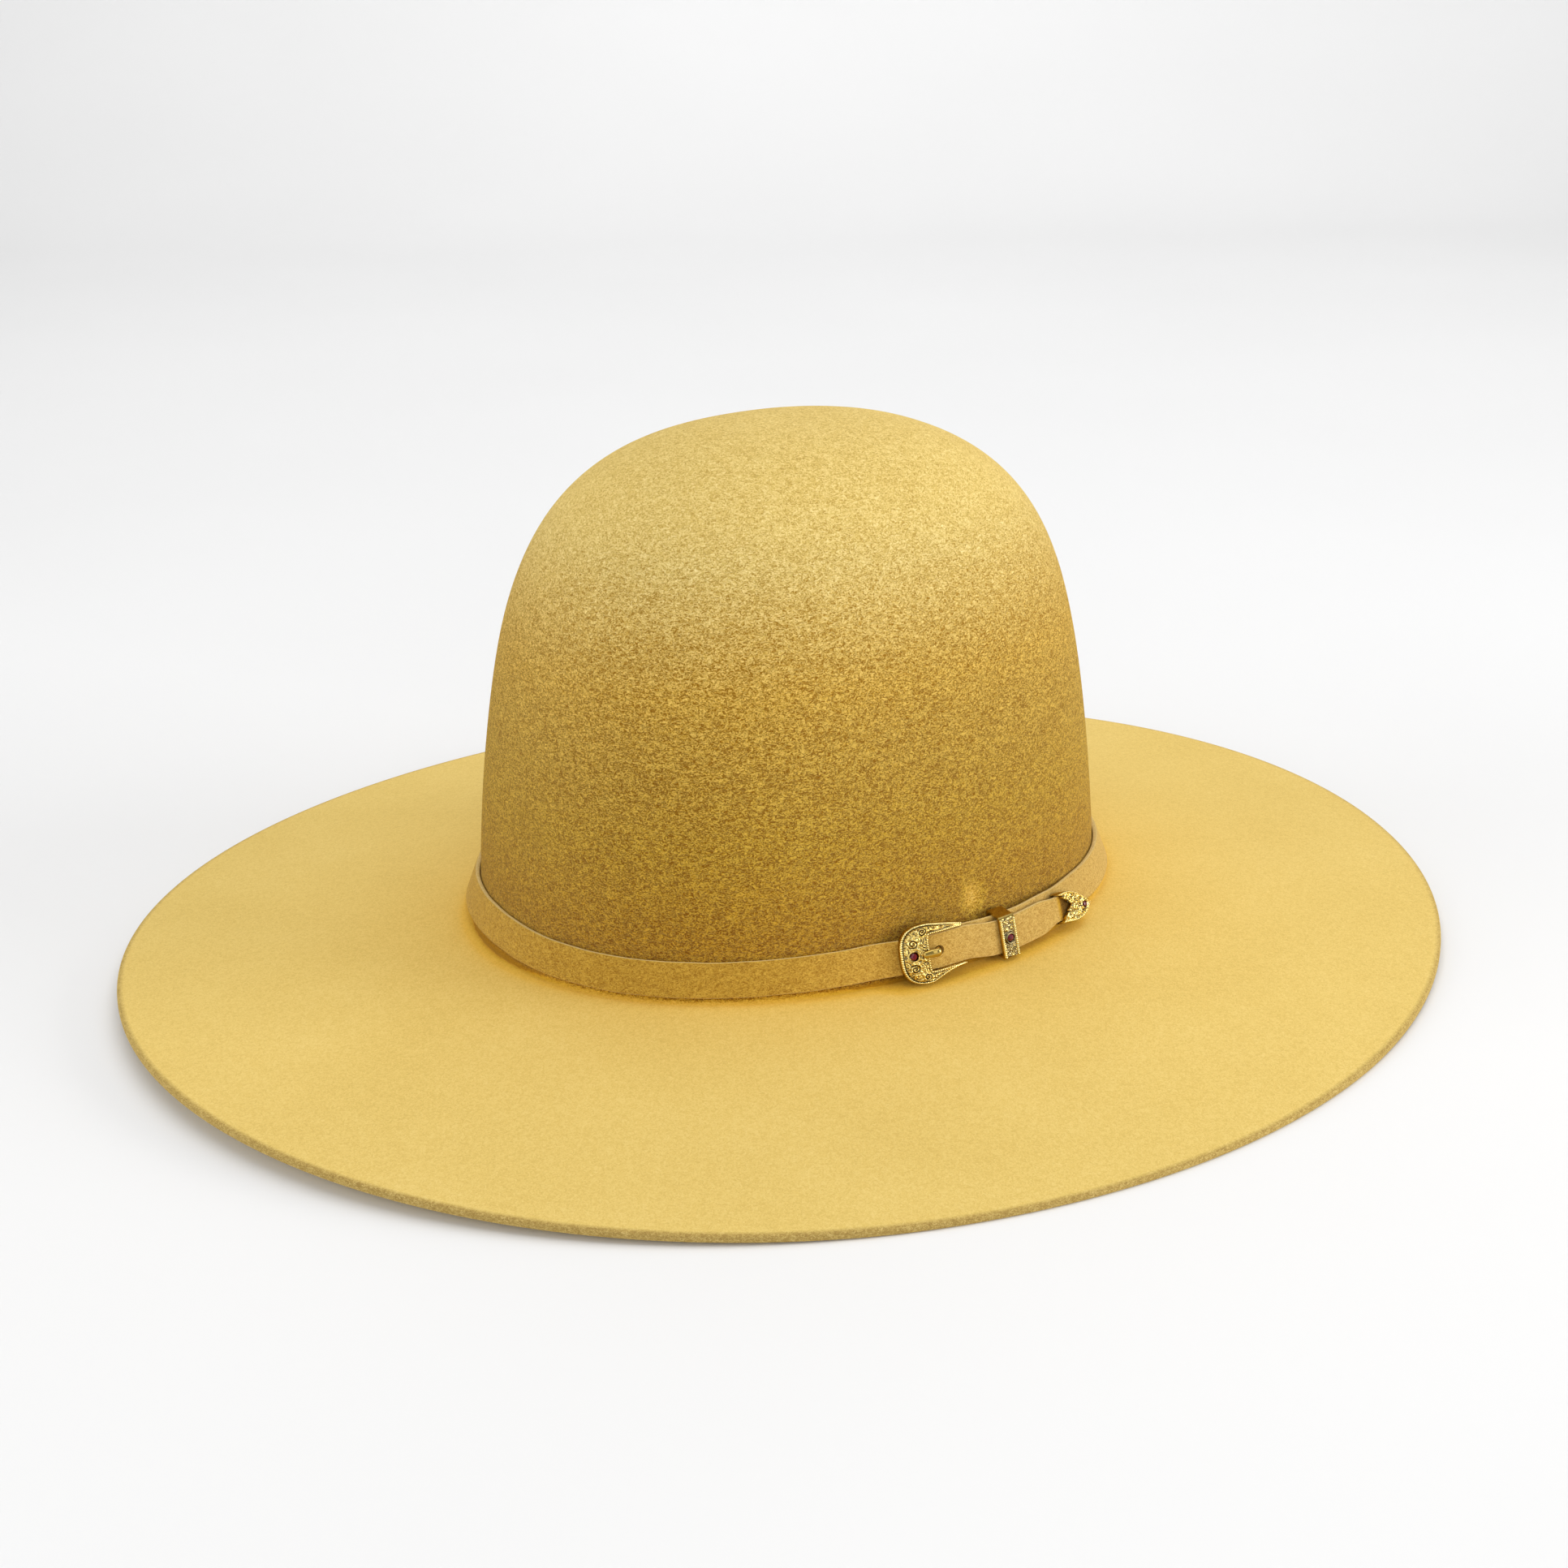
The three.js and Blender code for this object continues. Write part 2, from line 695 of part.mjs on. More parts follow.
// Prong: an eye round the bar and a stem that rises through the strap's hole, bends and lies on the heel.
function prong() {
  const eye = acrossBar(eyeRadius, barAt, barDepth, -prongWidth / 2, prongWidth / 2);
  const eyeHole = acrossBar(barRadius + clearance, barAt, barDepth, -prongWidth, prongWidth);
  const strapFace = billetOverBar + bandThickness;
  const heelFace = frameBack(heelInnerAt) + frameThickness + rimHeight;
  const lying = heelFace + clearance + prongThickness / 2;
  const bend = Math.max(strapFace + clearance + prongThickness / 2, lying) + prongThickness / 3;
  const riseAt = barAt - eyeRadius / 2;
  const path = new THREE.CatmullRomCurve3([
    new THREE.Vector3(riseAt, 0, barDepth + eyeRadius - strapFoldWall / 2),
    new THREE.Vector3(riseAt, 0, strapFace - prongThickness / 4),
    new THREE.Vector3(riseAt - prongThickness, 0, strapFace + prongThickness),
    new THREE.Vector3((riseAt + heelInnerAt) / 2, 0, bend),
    new THREE.Vector3(heelInnerAt, 0, lying),
    new THREE.Vector3(heelInnerAt - prongOverHeel, 0, lying - rimHeight / 2),
  ]);
  const rings = Array.from({ length: prongStations + 1 }, (_, k) => {
    const share = k / prongStations;
    const middle = path.getPoint(share);
    const forward = path.getTangent(share);
    const lift = new THREE.Vector3(forward.z, 0, -forward.x);
    const slim = k >= prongStations - 1 ? prongEndShare : 1;
    return Array.from({ length: prongSides }, (_unused, j) => {
      const angle = (j / prongSides) * fullTurn;
      const point = middle.clone().addScaledVector(lift, (Math.cos(angle) * prongThickness * slim) / 2);
      return point.setY((-Math.sin(angle) * prongWidth * slim) / 2);
    });
  });
  return cut(join(eye, loft(rings)), eyeHole).translate(0, -frameDrop, 0);
}

// Rounded rectangle in the plane across the strap, added to a shape or to its hole.
function roundedRectangle(target, bottom, top, back, front, round) {
  target.moveTo(bottom + round, back);
  target.lineTo(top - round, back);
  target.quadraticCurveTo(top, back, top, back + round);
  target.lineTo(top, front - round);
  target.quadraticCurveTo(top, front, top - round, front);
  target.lineTo(bottom + round, front);
  target.quadraticCurveTo(bottom, front, bottom, front - round);
  target.lineTo(bottom, back + round);
  target.quadraticCurveTo(bottom, back, bottom + round, back);
  return target;
}

// The keeper's opening and face.
const keeperInside = billetUnderKeeper + bandThickness + clearance;
const keeperFace = keeperInside + keeperFaceThickness;
const keeperBottom = -halfBand - keeperRoom;
const keeperTop = halfBand + keeperRoom;

// The keeper leans with the strap that it holds: its face lies lower than its back.
function slumped(geometry) {
  const position = geometry.attributes.position;
  for (let i = 0; i < position.count; i++) {
    const forward = (position.getZ(i) - keeperBack) / (keeperFace - keeperBack);
    position.setY(i, position.getY(i) - keeperSlump * forward);
  }
  return geometry;
}

function keeperLoop() {
  const bottom = keeperBottom - keeperWall;
  const top = keeperTop + keeperWall;
  const innerRound = keeperCornerRound / 2;
  const shape = roundedRectangle(new THREE.Shape(), bottom, top, clearance, keeperFace, keeperCornerRound);
  shape.holes.push(
    roundedRectangle(new THREE.Path(), keeperBottom, keeperTop, keeperBack, keeperInside, innerRound),
  );
  const loop = new THREE.ExtrudeGeometry(shape, {
    depth: keeperWidth,
    bevelEnabled: false,
    curveSegments: keeperCornerSteps,
  });
  // The shape's x lies across the strap and its y out from the crown, so its depth runs along the strap.
  const turned = new THREE.Matrix4().makeBasis(
    new THREE.Vector3(0, 1, 0),
    new THREE.Vector3(0, 0, 1),
    new THREE.Vector3(1, 0, 0),
  );
  loop.applyMatrix4(turned).translate(keeperAt - keeperWidth / 2, 0, 0);
  const rims = [-1, 1].map((side) =>
    block(
      new THREE.Vector3(-keeperWall / 2, keeperBottom + keeperWall, keeperFace - rimHeight),
      new THREE.Vector3(keeperWall / 2, keeperTop - keeperWall, keeperFace + rimHeight),
    ).translate(keeperAt + (side * (keeperWidth - keeperWall)) / 2, 0, 0),
  );
  return [loop, ...rims].map(slumped);
}

// A plate of the tip's outline between two depths, from a mouth line to its end.
function tipPlate({ inset, mouth, notch, backAt, frontAt, end }) {
  const across = [-1, -0.5, 0, 0.5, 1];
  const rings = Array.from({ length: tipStations + 1 }, (_, k) => {
    const share = k / tipStations;
    const along = lerp(mouth, end, share);
    const half = Math.max(tipHalf((along - tipMouthAt) / tipLength) - inset, tipWall / 2);
    const middle = billetMiddle(along);
    const lift = billetDepth(along) - billetInTip;
    const pull = notch * (1 - share);
    const point = (side, depth) =>
      new THREE.Vector3(along + pull * (1 - Math.abs(side)), middle + side * half, depth + lift);
    const front = across.map((side) => point(side, frontAt + rimHeight * (1 - side * side)));
    const back = across.map((side) => point(side, backAt)).reverse();
    return [...front, ...back];
  });
  return loft(rings);
}

const tipInside = billetInTip + bandThickness + clearance;
const tipFace = tipInside + tipFaceThickness;

function strapTip() {
  const cap = tipPlate({
    inset: 0,
    mouth: tipMouthAt,
    notch: tipNotch,
    backAt: tipBackOut,
    frontAt: tipFace,
    end: tipPointAt,
  });
  const pocket = tipPlate({
    inset: tipWall,
    mouth: tipMouthAt - tipNotch,
    notch: 0,
    backAt: tipBackOut + tipBackThickness,
    frontAt: tipInside,
    end: tipPointAt - tipWall - clearance,
  });
  return cut(cap, pocket);
}

const hat = new THREE.Group();

function addPiece(name, geometry, material) {
  const mesh = new THREE.Mesh(geometry, material);
  mesh.name = name;
  hat.add(mesh);
}

addPiece("felt_body", feltBody(), feltMaterial);
addPiece("hat_band", wrapOnBand(hatBand()), bandMaterial);

const buckleStoneX = heelOuterAt + heelLength * buckleStoneShare;
const buckleStoneAt = { x: buckleStoneX, y: -frameDrop, z: frameBack(buckleStoneX) + frameThickness };
const buckleSocket = socket(stoneRadius, frameThickness, buckleStoneAt);
const buckleStone = stoneGeometry(stoneRadius, buckleStoneAt, buckleSocket.floor);
const frame = cut(join(buckleFrame(), ...frameBar(), buckleSocket.lip), buckleSocket.hollow);
addPiece("buckle_frame", wrapOnBand(frame), metalMaterial);
addPiece("buckle_prong", wrapOnBand(prong()), metalMaterial);
addPiece("buckle_stone", wrapOnBand(buckleStone), stoneMaterial);

const keeperStoneAt = { x: keeperAt, y: -keeperSlump, z: keeperFace };
const keeperSocket = socket(stoneRadius, keeperFaceThickness, keeperStoneAt);
const keeperStone = stoneGeometry(stoneRadius, keeperStoneAt, keeperSocket.floor);
const keeper = cut(join(...keeperLoop(), keeperSocket.lip), keeperSocket.hollow);
addPiece("keeper_loop", wrapOnBand(keeper), metalMaterial);
addPiece("keeper_stone", wrapOnBand(keeperStone), stoneMaterial);

const tipStoneX = tipMouthAt + tipLength * tipStoneShare;
const tipLift = billetDepth(tipStoneX) - billetInTip;
const tipStoneAt = { x: tipStoneX, y: billetMiddle(tipStoneX), z: tipFace + rimHeight + tipLift };
const tipSocket = socket(tipStoneRadius, tipFaceThickness, tipStoneAt);
const tipStone = stoneGeometry(tipStoneRadius, tipStoneAt, tipSocket.floor);
const tip = cut(join(strapTip(), tipSocket.lip), tipSocket.hollow);
addPiece("strap_tip", wrapOnBand(tip), metalMaterial);
addPiece("tip_stone", wrapOnBand(tipStone), stoneMaterial);

export default hat;
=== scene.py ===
# A wide-brimmed felt hat with a tall, uncreased crown, and its buckled felt hat band with an engraved
# three-piece buckle set. Lengths here are in millimetres and become metres where a mesh is made.
# The front of the hat faces -Y, and the buckle is on the wearer's left, at +X.

import itertools
import math

import bpy
import numpy as np
from mathutils import Matrix, Vector, noise


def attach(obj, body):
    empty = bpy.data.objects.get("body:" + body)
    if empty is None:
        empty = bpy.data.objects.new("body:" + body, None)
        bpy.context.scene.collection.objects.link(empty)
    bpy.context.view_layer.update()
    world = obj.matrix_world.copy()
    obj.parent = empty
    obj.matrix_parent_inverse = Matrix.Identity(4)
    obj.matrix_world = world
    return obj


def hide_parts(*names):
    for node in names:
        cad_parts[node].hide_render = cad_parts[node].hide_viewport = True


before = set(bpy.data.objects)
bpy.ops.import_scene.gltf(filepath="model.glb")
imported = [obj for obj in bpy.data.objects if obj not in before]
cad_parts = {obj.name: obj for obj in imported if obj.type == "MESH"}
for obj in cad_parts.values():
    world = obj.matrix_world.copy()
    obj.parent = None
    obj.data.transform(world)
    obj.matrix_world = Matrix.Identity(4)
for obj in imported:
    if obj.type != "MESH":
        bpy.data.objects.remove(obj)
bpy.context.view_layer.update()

MM = 0.001
FULL_TURN = 2 * math.pi

# Crown. Its foot is where the lower edge of the hat band lies.
CROWN_FOOT_LENGTH = 208
CROWN_FOOT_WIDTH = 169
CROWN_FOOT_SQUARENESS = 2.26
CROWN_HEIGHT = 139
CROWN_SHOULDER = 5.4
CROWN_DOME = 2.68
CROWN_TAPER = 0.18
CROWN_TAPER_POWER = 1.3
CROWN_LEAN = 2.3
CROWN_WALL = 2.2

# Brim
BRIM_LENGTH = 430.7
BRIM_WIDTH = 392.6
BRIM_THICKNESS = 2.4
BRIM_EDGE_ROUND = 0.5
BRIM_BREAK_RADIUS = 1.15
BRIM_DROP = 12.2
BRIM_DROP_POWER = 0.85
BRIM_FRONT_RISE = 6.2
BRIM_BACK_RISE = 4.4
BRIM_RISE_POWER = 2.25
BRIM_REST_DEPTH = 0.6

# Hat band
BAND_WIDTH = 10.3
BAND_THICKNESS = 1.6
BAND_FLARE = 3.53
BAND_ABOVE_BRIM = 2.1
BAND_CORNER_ROUND = 0.35
BAND_STAND_ANGLE = math.radians(8)
BAND_STAND_FADE = 16
STRAP_FOLD_WALL = 1
STRAP_RUN_OUT = 8.2
STRAP_TAPER_LENGTH = 9
STRAP_END_ROOM = 2.4
BASE_DROOP = 0.35
BILLET_DROOP = 1.2

# Places along the band, from the hat's widest point towards its back
BAR_AT = 0.2
KEEPER_AT = 24
TIP_MOUTH_AT = 47.2

CLEARANCE = 0.3

# Buckle frame
FRAME_HALF_HEIGHT = 9
HEEL_LENGTH = 8.2
HEEL_TO_BAR = 5
ARM_LENGTH = 8
ARM_TIP_WIDTH = 1.1
ARM_TIP_DROP = 0.8
ARM_SWEEP = 0.8
LOW_ARM_TIP_WIDTH = 0.7
LOW_ARM_SWEEP = 1.7
FRAME_THICKNESS = 1.3
FRAME_RISE = 0.4
FRAME_DROP = 0.3
FRAME_OUTER_SQUARENESS = 2.7
FRAME_INNER_SQUARENESS = 3.4
RIM_HEIGHT = 0.35
BAR_RADIUS = 0.4
POST_WIDTH = 1.2

# Prong
PRONG_WIDTH = 2.5
PRONG_THICKNESS = 1.4
PRONG_HOLE_LENGTH = 3.2
PRONG_HOLE_WIDTH = 3
PRONG_OVER_HEEL = 2.7

# Keeper loop
KEEPER_WIDTH = 5.6
KEEPER_WALL = 0.7
KEEPER_FACE_THICKNESS = 1.1
KEEPER_ROOM = 0.6
KEEPER_SLUMP = 2.8
KEEPER_DRAG = 0.7
KEEPER_CORNER_ROUND = 0.9

# Strap tip
TIP_LENGTH = 12.6
TIP_HALF_HEIGHT = 5.2
TIP_ROUNDNESS = 0.8
TIP_MOUTH_FULLNESS = 0.9
TIP_POINT_FULLNESS = 1.45
TIP_NOTCH = 5
TIP_FACE_THICKNESS = 1
TIP_BACK_THICKNESS = 0.5
TIP_WALL = 0.45
TIP_STAND_AWAY = 1
TIP_DROOP = 2.4

# Stones
STONE_RADIUS = 1.15
TIP_STONE_RADIUS = 0.9
STONE_CLEARANCE = 0.15
SOCKET_LIP = 0.5
BUCKLE_STONE_SHARE = 0.42
TIP_STONE_SHARE = 0.77


def run_length(points):
    """Length from the first point to each point of a line."""
    return np.concatenate([[0], np.cumsum(np.linalg.norm(np.diff(points, axis=0), axis=-1))])


def points_at(at, run, line):
    """Points of a line at places along it, where run says how far along each of its own points is."""
    return np.stack([np.interp(at, run, column) for column in line.T], -1)


def circle(count):
    """Even angles of one full turn."""
    return np.arange(count) / count * FULL_TURN


def smoothstep(low, high, value):
    t = np.clip((value - low) / (high - low), 0, 1)
    return t * t * (3 - 2 * t)


def mix(a, b, t):
    return a + (b - a) * t


# Meshes. A part is (points in millimetres, faces, values of its point attributes by name).


def loft(rings, closed_ends=True):
    """Tube through rings of points, an array of rings by points by 3, with a fan at each end."""
    count, around = rings.shape[:2]
    points = rings.reshape(-1, 3)
    ring, turn = np.meshgrid(np.arange(count - 1), np.arange(around), indexing="ij")
    after = (turn + 1) % around
    corners = (ring, turn), (ring + 1, turn), (ring + 1, after), (ring, after)
    faces = np.stack([i * around + j for i, j in corners], -1).reshape(-1, 4).tolist()
    if closed_ends:
        last = (count - 1) * around
        points = np.vstack([points, rings[0].mean(0), rings[-1].mean(0)])
        start, end = len(points) - 2, len(points) - 1
        for j in range(around):
            k = (j + 1) % around
            faces.append((start, j, k))
            faces.append((end, last + k, last + j))
    return points, faces


def new_object(name, data):
    made = bpy.data.objects.new(name, data)
    bpy.context.scene.collection.objects.link(made)
    return made


def mesh_of(name, parts):
    faces, offset = [], 0
    for points, part_faces, _ in parts:
        faces += [tuple(offset + i for i in face) for face in part_faces]
        offset += len(points)
    mesh = bpy.data.meshes.new(name)
    mesh.from_pydata((np.vstack([part[0] for part in parts]) * MM).tolist(), [], faces)
    for key in sorted({key for part in parts for key in part[2]}):
        values = [np.broadcast_to(part[2].get(key, 0.0), len(part[0])) for part in parts]
        attribute = mesh.attributes.new(key, "FLOAT", "POINT")
        attribute.data.foreach_set("value", np.concatenate(values).astype(np.float32))
    mesh.validate()
    return mesh


def add_piece(name, parts, material, nodes, sharp_angle):
    mesh = mesh_of(name, parts)
    mesh.shade_smooth()
    mesh.set_sharp_from_angle(angle=math.radians(sharp_angle))
    mesh.materials.append(material)
    piece = new_object(name, mesh)
    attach(piece, "root")
    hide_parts(*nodes)


def cut_away(part, cutter):
    """The part with the cutter's shape taken out of it."""
    objects = []
    for name, (points, faces) in {"whole": part, "cutter": cutter}.items():
        mesh = bpy.data.meshes.new(name)
        mesh.from_pydata(points.tolist(), [], faces)
        objects.append(new_object(name, mesh))
    whole, taken = objects
    modifier = whole.modifiers.new("cut", "BOOLEAN")
    modifier.object = taken
    modifier.operation = "DIFFERENCE"
    modifier.solver = "EXACT"
    evaluated = whole.evaluated_get(bpy.context.evaluated_depsgraph_get())
    mesh = bpy.data.meshes.new_from_object(evaluated)
    points = np.array([v.co for v in mesh.vertices])
    faces = [tuple(p.vertices) for p in mesh.polygons]
    for made in objects:
        bpy.data.objects.remove(made)
    return points, faces


def soft_noise(points, size):
    """Smooth noise at points in millimetres, from about -1 to 1, with bumps of that size."""
    values = [noise.noise(Vector(p) / size) for p in points.reshape(-1, 3)]
    return np.array(values).reshape(points.shape[:-1])


def flat_noise(x, y, size, shift=0):
    return soft_noise(np.stack([x, y, np.zeros_like(x)], -1) + shift, size)


# The felt


def oval(half_length, half_width, squareness, angle):
    power = 2 / squareness
    side, front = np.sin(angle), np.cos(angle)
    x = half_width * np.sign(side) * np.abs(side) ** power
    y = -half_length * np.sign(front) * np.abs(front) ** power
    return x, y


BRIM_SIDE_TOP = BRIM_THICKNESS - BRIM_REST_DEPTH
BRIM_BREAK_TOP = BRIM_SIDE_TOP + BRIM_DROP
BAND_BOTTOM = BRIM_BREAK_TOP + BAND_ABOVE_BRIM
FLARE_ANGLE = math.asin(BAND_FLARE / BAND_WIDTH)
BAND_TOP = BAND_BOTTOM + BAND_WIDTH * math.cos(FLARE_ANGLE)
BREAK_GROW = BAND_ABOVE_BRIM * math.tan(FLARE_ANGLE)
BRIM_INNER_GROW = BREAK_GROW + BRIM_BREAK_RADIUS

FELT_AROUND = 360
CROWN_SHOULDER_RINGS = 70
CROWN_SIDE_RINGS = 46
CROWN_SIDE_TOP = 0.66
CROWN_TOP_CROWDING = 1.3
FOOT_RINGS = 6
BREAK_RINGS = 6
BRIM_RINGS = 70
EDGE_RINGS = 6


def crown_outline(grow, height, share=1.0, back=0.0):
    half_length, half_width = (CROWN_FOOT_LENGTH / 2 + grow) * share, (CROWN_FOOT_WIDTH / 2 + grow) * share
    x, y = oval(half_length, half_width, CROWN_FOOT_SQUARENESS, circle(FELT_AROUND))
    return np.stack([x, y + back, np.full_like(x, height)], -1)


def crown_ring(up):
    share = (1 - up**CROWN_SHOULDER) ** (1 / CROWN_DOME) * (1 - CROWN_TAPER * up**CROWN_TAPER_POWER)
    return crown_outline(-BAND_FLARE, BAND_TOP + up * CROWN_HEIGHT, share, CROWN_LEAN * up * up)


def brim_ring(share, inset=0.0):
    angle = circle(FELT_AROUND)
    half_length = mix(CROWN_FOOT_LENGTH / 2 + BRIM_INNER_GROW, BRIM_LENGTH / 2 - inset, share)
    half_width = mix(CROWN_FOOT_WIDTH / 2 + BRIM_INNER_GROW, BRIM_WIDTH / 2 - inset, share)
    x, y = oval(half_length, half_width, mix(CROWN_FOOT_SQUARENESS, 2, share), angle)
    front = np.cos(angle)
    rise = mix(BRIM_BACK_RISE, BRIM_FRONT_RISE, (1 + front) / 2) * np.abs(front) ** BRIM_RISE_POWER
    z = BRIM_BREAK_TOP - BRIM_DROP * share**BRIM_DROP_POWER + rise * share**2
    return np.stack([x, y, z], -1)


def felt_upper():
    """Rings of the felt's upper side, from the top of the crown to the brim's edge, and its thickness."""
    rings = []
    start = math.acos(CROWN_SIDE_TOP ** (CROWN_SHOULDER / 2))
    for k in range(1, CROWN_SHOULDER_RINGS + 1):
        angle = start * (k / CROWN_SHOULDER_RINGS) ** CROWN_TOP_CROWDING
        rings.append(crown_ring(math.cos(angle) ** (2 / CROWN_SHOULDER)))
    for k in range(CROWN_SIDE_RINGS - 1, -1, -1):
        rings.append(crown_ring(k / CROWN_SIDE_RINGS * CROWN_SIDE_TOP))
    for k in range(1, FOOT_RINGS + 1):
        share = k / FOOT_RINGS
        rings.append(crown_outline(-BAND_FLARE * (1 - share), mix(BAND_TOP, BAND_BOTTOM, share)))
    for k in range(BREAK_RINGS + 1):
        turn = k / BREAK_RINGS
        above = BRIM_BREAK_RADIUS * (1 - turn) ** 2
        grow = BREAK_GROW - above * math.sin(FLARE_ANGLE) + BRIM_BREAK_RADIUS * turn**2
        rings.append(crown_outline(grow, BRIM_BREAK_TOP + above * math.cos(FLARE_ANGLE)))
    thickness = [CROWN_WALL] * len(rings)
    for share in np.linspace(0, 1, BRIM_RINGS + 1)[1:]:
        rings.append(brim_ring(share, BRIM_EDGE_ROUND))
        thickness.append(mix(CROWN_WALL, BRIM_THICKNESS, math.sqrt(share)))
    return np.array(rings), np.array(thickness)


def ring_normals(rings):
    along = np.roll(rings, -1, 1) - np.roll(rings, 1, 1)
    down = np.gradient(rings, axis=0)
    normal = np.cross(down, along)
    return normal / np.maximum(np.linalg.norm(normal, axis=-1, keepdims=True), 1e-9)


# Small dent that the keeper has pressed into the crown's foot, just above the band
DENT_ALONG = 17.5
DENT_ABOVE = 7
DENT_WIDTH = 3
DENT_HEIGHT = 4.5
DENT_DEPTH = 1.3

# Painted highlight in the dent: its colour is painted paler there and its nap smoother, by this gain on the
# dent's shape
DENT_HIGHLIGHT_GAIN = 1.7

# Painted shade of the felt, deeper and redder towards the crown's foot: how far it reaches up the crown and
# out over the brim, and how deep
SHADE_REACH_UP = 120
SHADE_REACH_OUT = 30
CROWN_FOOT_SHADE = 0.9
BRIM_SHADE_BY_CROWN = 0.12

# The painted shade is deepest in the break between crown and brim, and as a painted shadow along the strap,
# which stands further out where it is doubled: from and to these distances behind the widest point.
SHADE_IN_BREAK = 0.9
SHADOW_BY_STRAP = 0.6
STRAP_SHADE_REACH = 1.8
STRAP_STANDS_OUT = 2
DOUBLED_STRAP_STANDS_OUT = 6.5
DOUBLED_FROM = (-24, -12)
DOUBLED_TO = (56, 70)

# Shares of the crown's rough nap that the smoother parts of the felt have
BRIM_NAP = 0.09
TOP_NAP = 0.3
FOOT_NAP = 0.95
NAP_SMOOTHED_IN_HIGHLIGHT = 0.8

# Slow unevenness of the felt: size of its waves, their height and where their noise is read
FELT_WAVES = [(70, 0.7, 0), (28, 0.22, 500)]
CROWN_UNEVENNESS = 0.55
BRIM_UNEVENNESS = 0.6
LEVEL_BY_BAND = (2, 30)

# Shares of the brim's radius between which it rises and fades
BRIM_UNEVEN_FROM = (0.55, 0.7)
BRIM_UNEVEN_TO = (0.9, 0.99)


def dent_share(points):
    dent_x, dent_y, _ = on_band(np.array([DENT_ALONG, HALF_BAND, 0.0]))
    along = np.hypot(points[..., 0] - dent_x, points[..., 1] - dent_y)
    above = points[..., 2] - BAND_TOP - DENT_ABOVE
    return np.exp(-((along / DENT_WIDTH) ** 2) - (above / DENT_HEIGHT) ** 2)


def felt_painted_shade_and_nap(points):
    """How deep the painted shade is and how rough the nap is, at points of the felt's upper side; the dent
    gets a painted highlight.
    """
    x, y, up = points[..., 0], points[..., 1], points[..., 2] - BAND_BOTTOM
    foot_x, foot_y = CROWN_FOOT_WIDTH / 2, CROWN_FOOT_LENGTH / 2
    outside = (np.hypot(x / foot_x, y / foot_y) - 1) * (foot_x + foot_y) / 2
    doubled = smoothstep(*DOUBLED_FROM, y) * (1 - smoothstep(*DOUBLED_TO, y)) * (x > 0)
    past_strap = outside - mix(STRAP_STANDS_OUT, DOUBLED_STRAP_STANDS_OUT, doubled)
    brim_shade = BRIM_SHADE_BY_CROWN * np.exp(-np.maximum(outside, 0) / SHADE_REACH_OUT)
    brim_shade = brim_shade + SHADOW_BY_STRAP * np.exp(-np.maximum(past_strap, 0) / STRAP_SHADE_REACH)
    crown_shade = CROWN_FOOT_SHADE * np.clip(1 - up / SHADE_REACH_UP, 0, 1)
    on_crown = smoothstep(-2, 0.5, up)
    foot = mix(brim_shade, crown_shade, on_crown)
    foot = np.where((up < 1) & (outside < BRIM_INNER_GROW), SHADE_IN_BREAK, foot)
    share = up / CROWN_HEIGHT
    crown_nap = mix(FOOT_NAP, 1, smoothstep(0, 0.5, share)) * mix(1, TOP_NAP, smoothstep(0.4, 1.0, share))
    dent_highlight = np.clip(DENT_HIGHLIGHT_GAIN * dent_share(points), 0, 1)
    return foot * (1 - dent_highlight), mix(BRIM_NAP, crown_nap, on_crown) * (1 - NAP_SMOOTHED_IN_HIGHLIGHT * dent_highlight)


def felt_body():
    upper, thickness = felt_upper()
    normal = ring_normals(upper)
    waves = sum(height * soft_noise(upper + shift, size) for size, height, shift in FELT_WAVES)
    above_band = smoothstep(*LEVEL_BY_BAND, upper[..., 2] - BAND_TOP)
    radius = np.hypot(upper[..., 0] / BRIM_WIDTH, upper[..., 1] / BRIM_LENGTH) * 2
    on_brim = smoothstep(*BRIM_UNEVEN_FROM, radius) * (1 - smoothstep(*BRIM_UNEVEN_TO, radius))
    offset = waves * (above_band * CROWN_UNEVENNESS + on_brim * BRIM_UNEVENNESS)
    offset -= DENT_DEPTH * dent_share(upper)
    upper = upper + normal * offset[..., None]
    under = upper - normal * thickness[:, None, None]
    under[..., 2] = np.maximum(under[..., 2], 0)
    outline = brim_ring(1.0)
    edge = []
    for k in range(1, EDGE_RINGS):
        share = k / EDGE_RINGS
        bulge = (1 - abs(2 * share - 1) ** 4) ** 0.5
        ring = mix(upper[-1], outline, bulge)
        ring[:, 2] = mix(upper[-1, :, 2], under[-1, :, 2], share)
        edge.append(ring)
    rings = np.concatenate([upper, edge, under[::-2]])
    cut = np.zeros(len(rings))
    cut[len(upper) - 1 : len(upper) + len(edge) + 1] = 1
    # foot carries the painted shade of the felt's upper side, lighter in the dent's painted highlight
    foot, nap = felt_painted_shade_and_nap(upper)
    rest = (len(rings) - len(upper)) * FELT_AROUND
    values = {
        "relief": np.append(np.repeat(cut, FELT_AROUND), [0, 0]),
        "foot": np.concatenate([foot.reshape(-1), np.zeros(rest), [0, 0]]),
        "nap": np.concatenate([nap.reshape(-1), np.full(rest, 2 * BRIM_NAP), [TOP_NAP, TOP_NAP]]),
    }
    return *loft(rings), values


# The band's own space: x runs along the band, y up across it from its middle, z out from the crown.
HALF_BAND = BAND_WIDTH / 2

band_angles = math.pi / 2 + np.linspace(0, FULL_TURN, 1441)
band_halves = (CROWN_FOOT_LENGTH - BAND_FLARE) / 2, (CROWN_FOOT_WIDTH - BAND_FLARE) / 2
band_distances = run_length(np.stack(oval(*band_halves, CROWN_FOOT_SQUARENESS, band_angles), -1))
BAND_LENGTH = band_distances[-1]


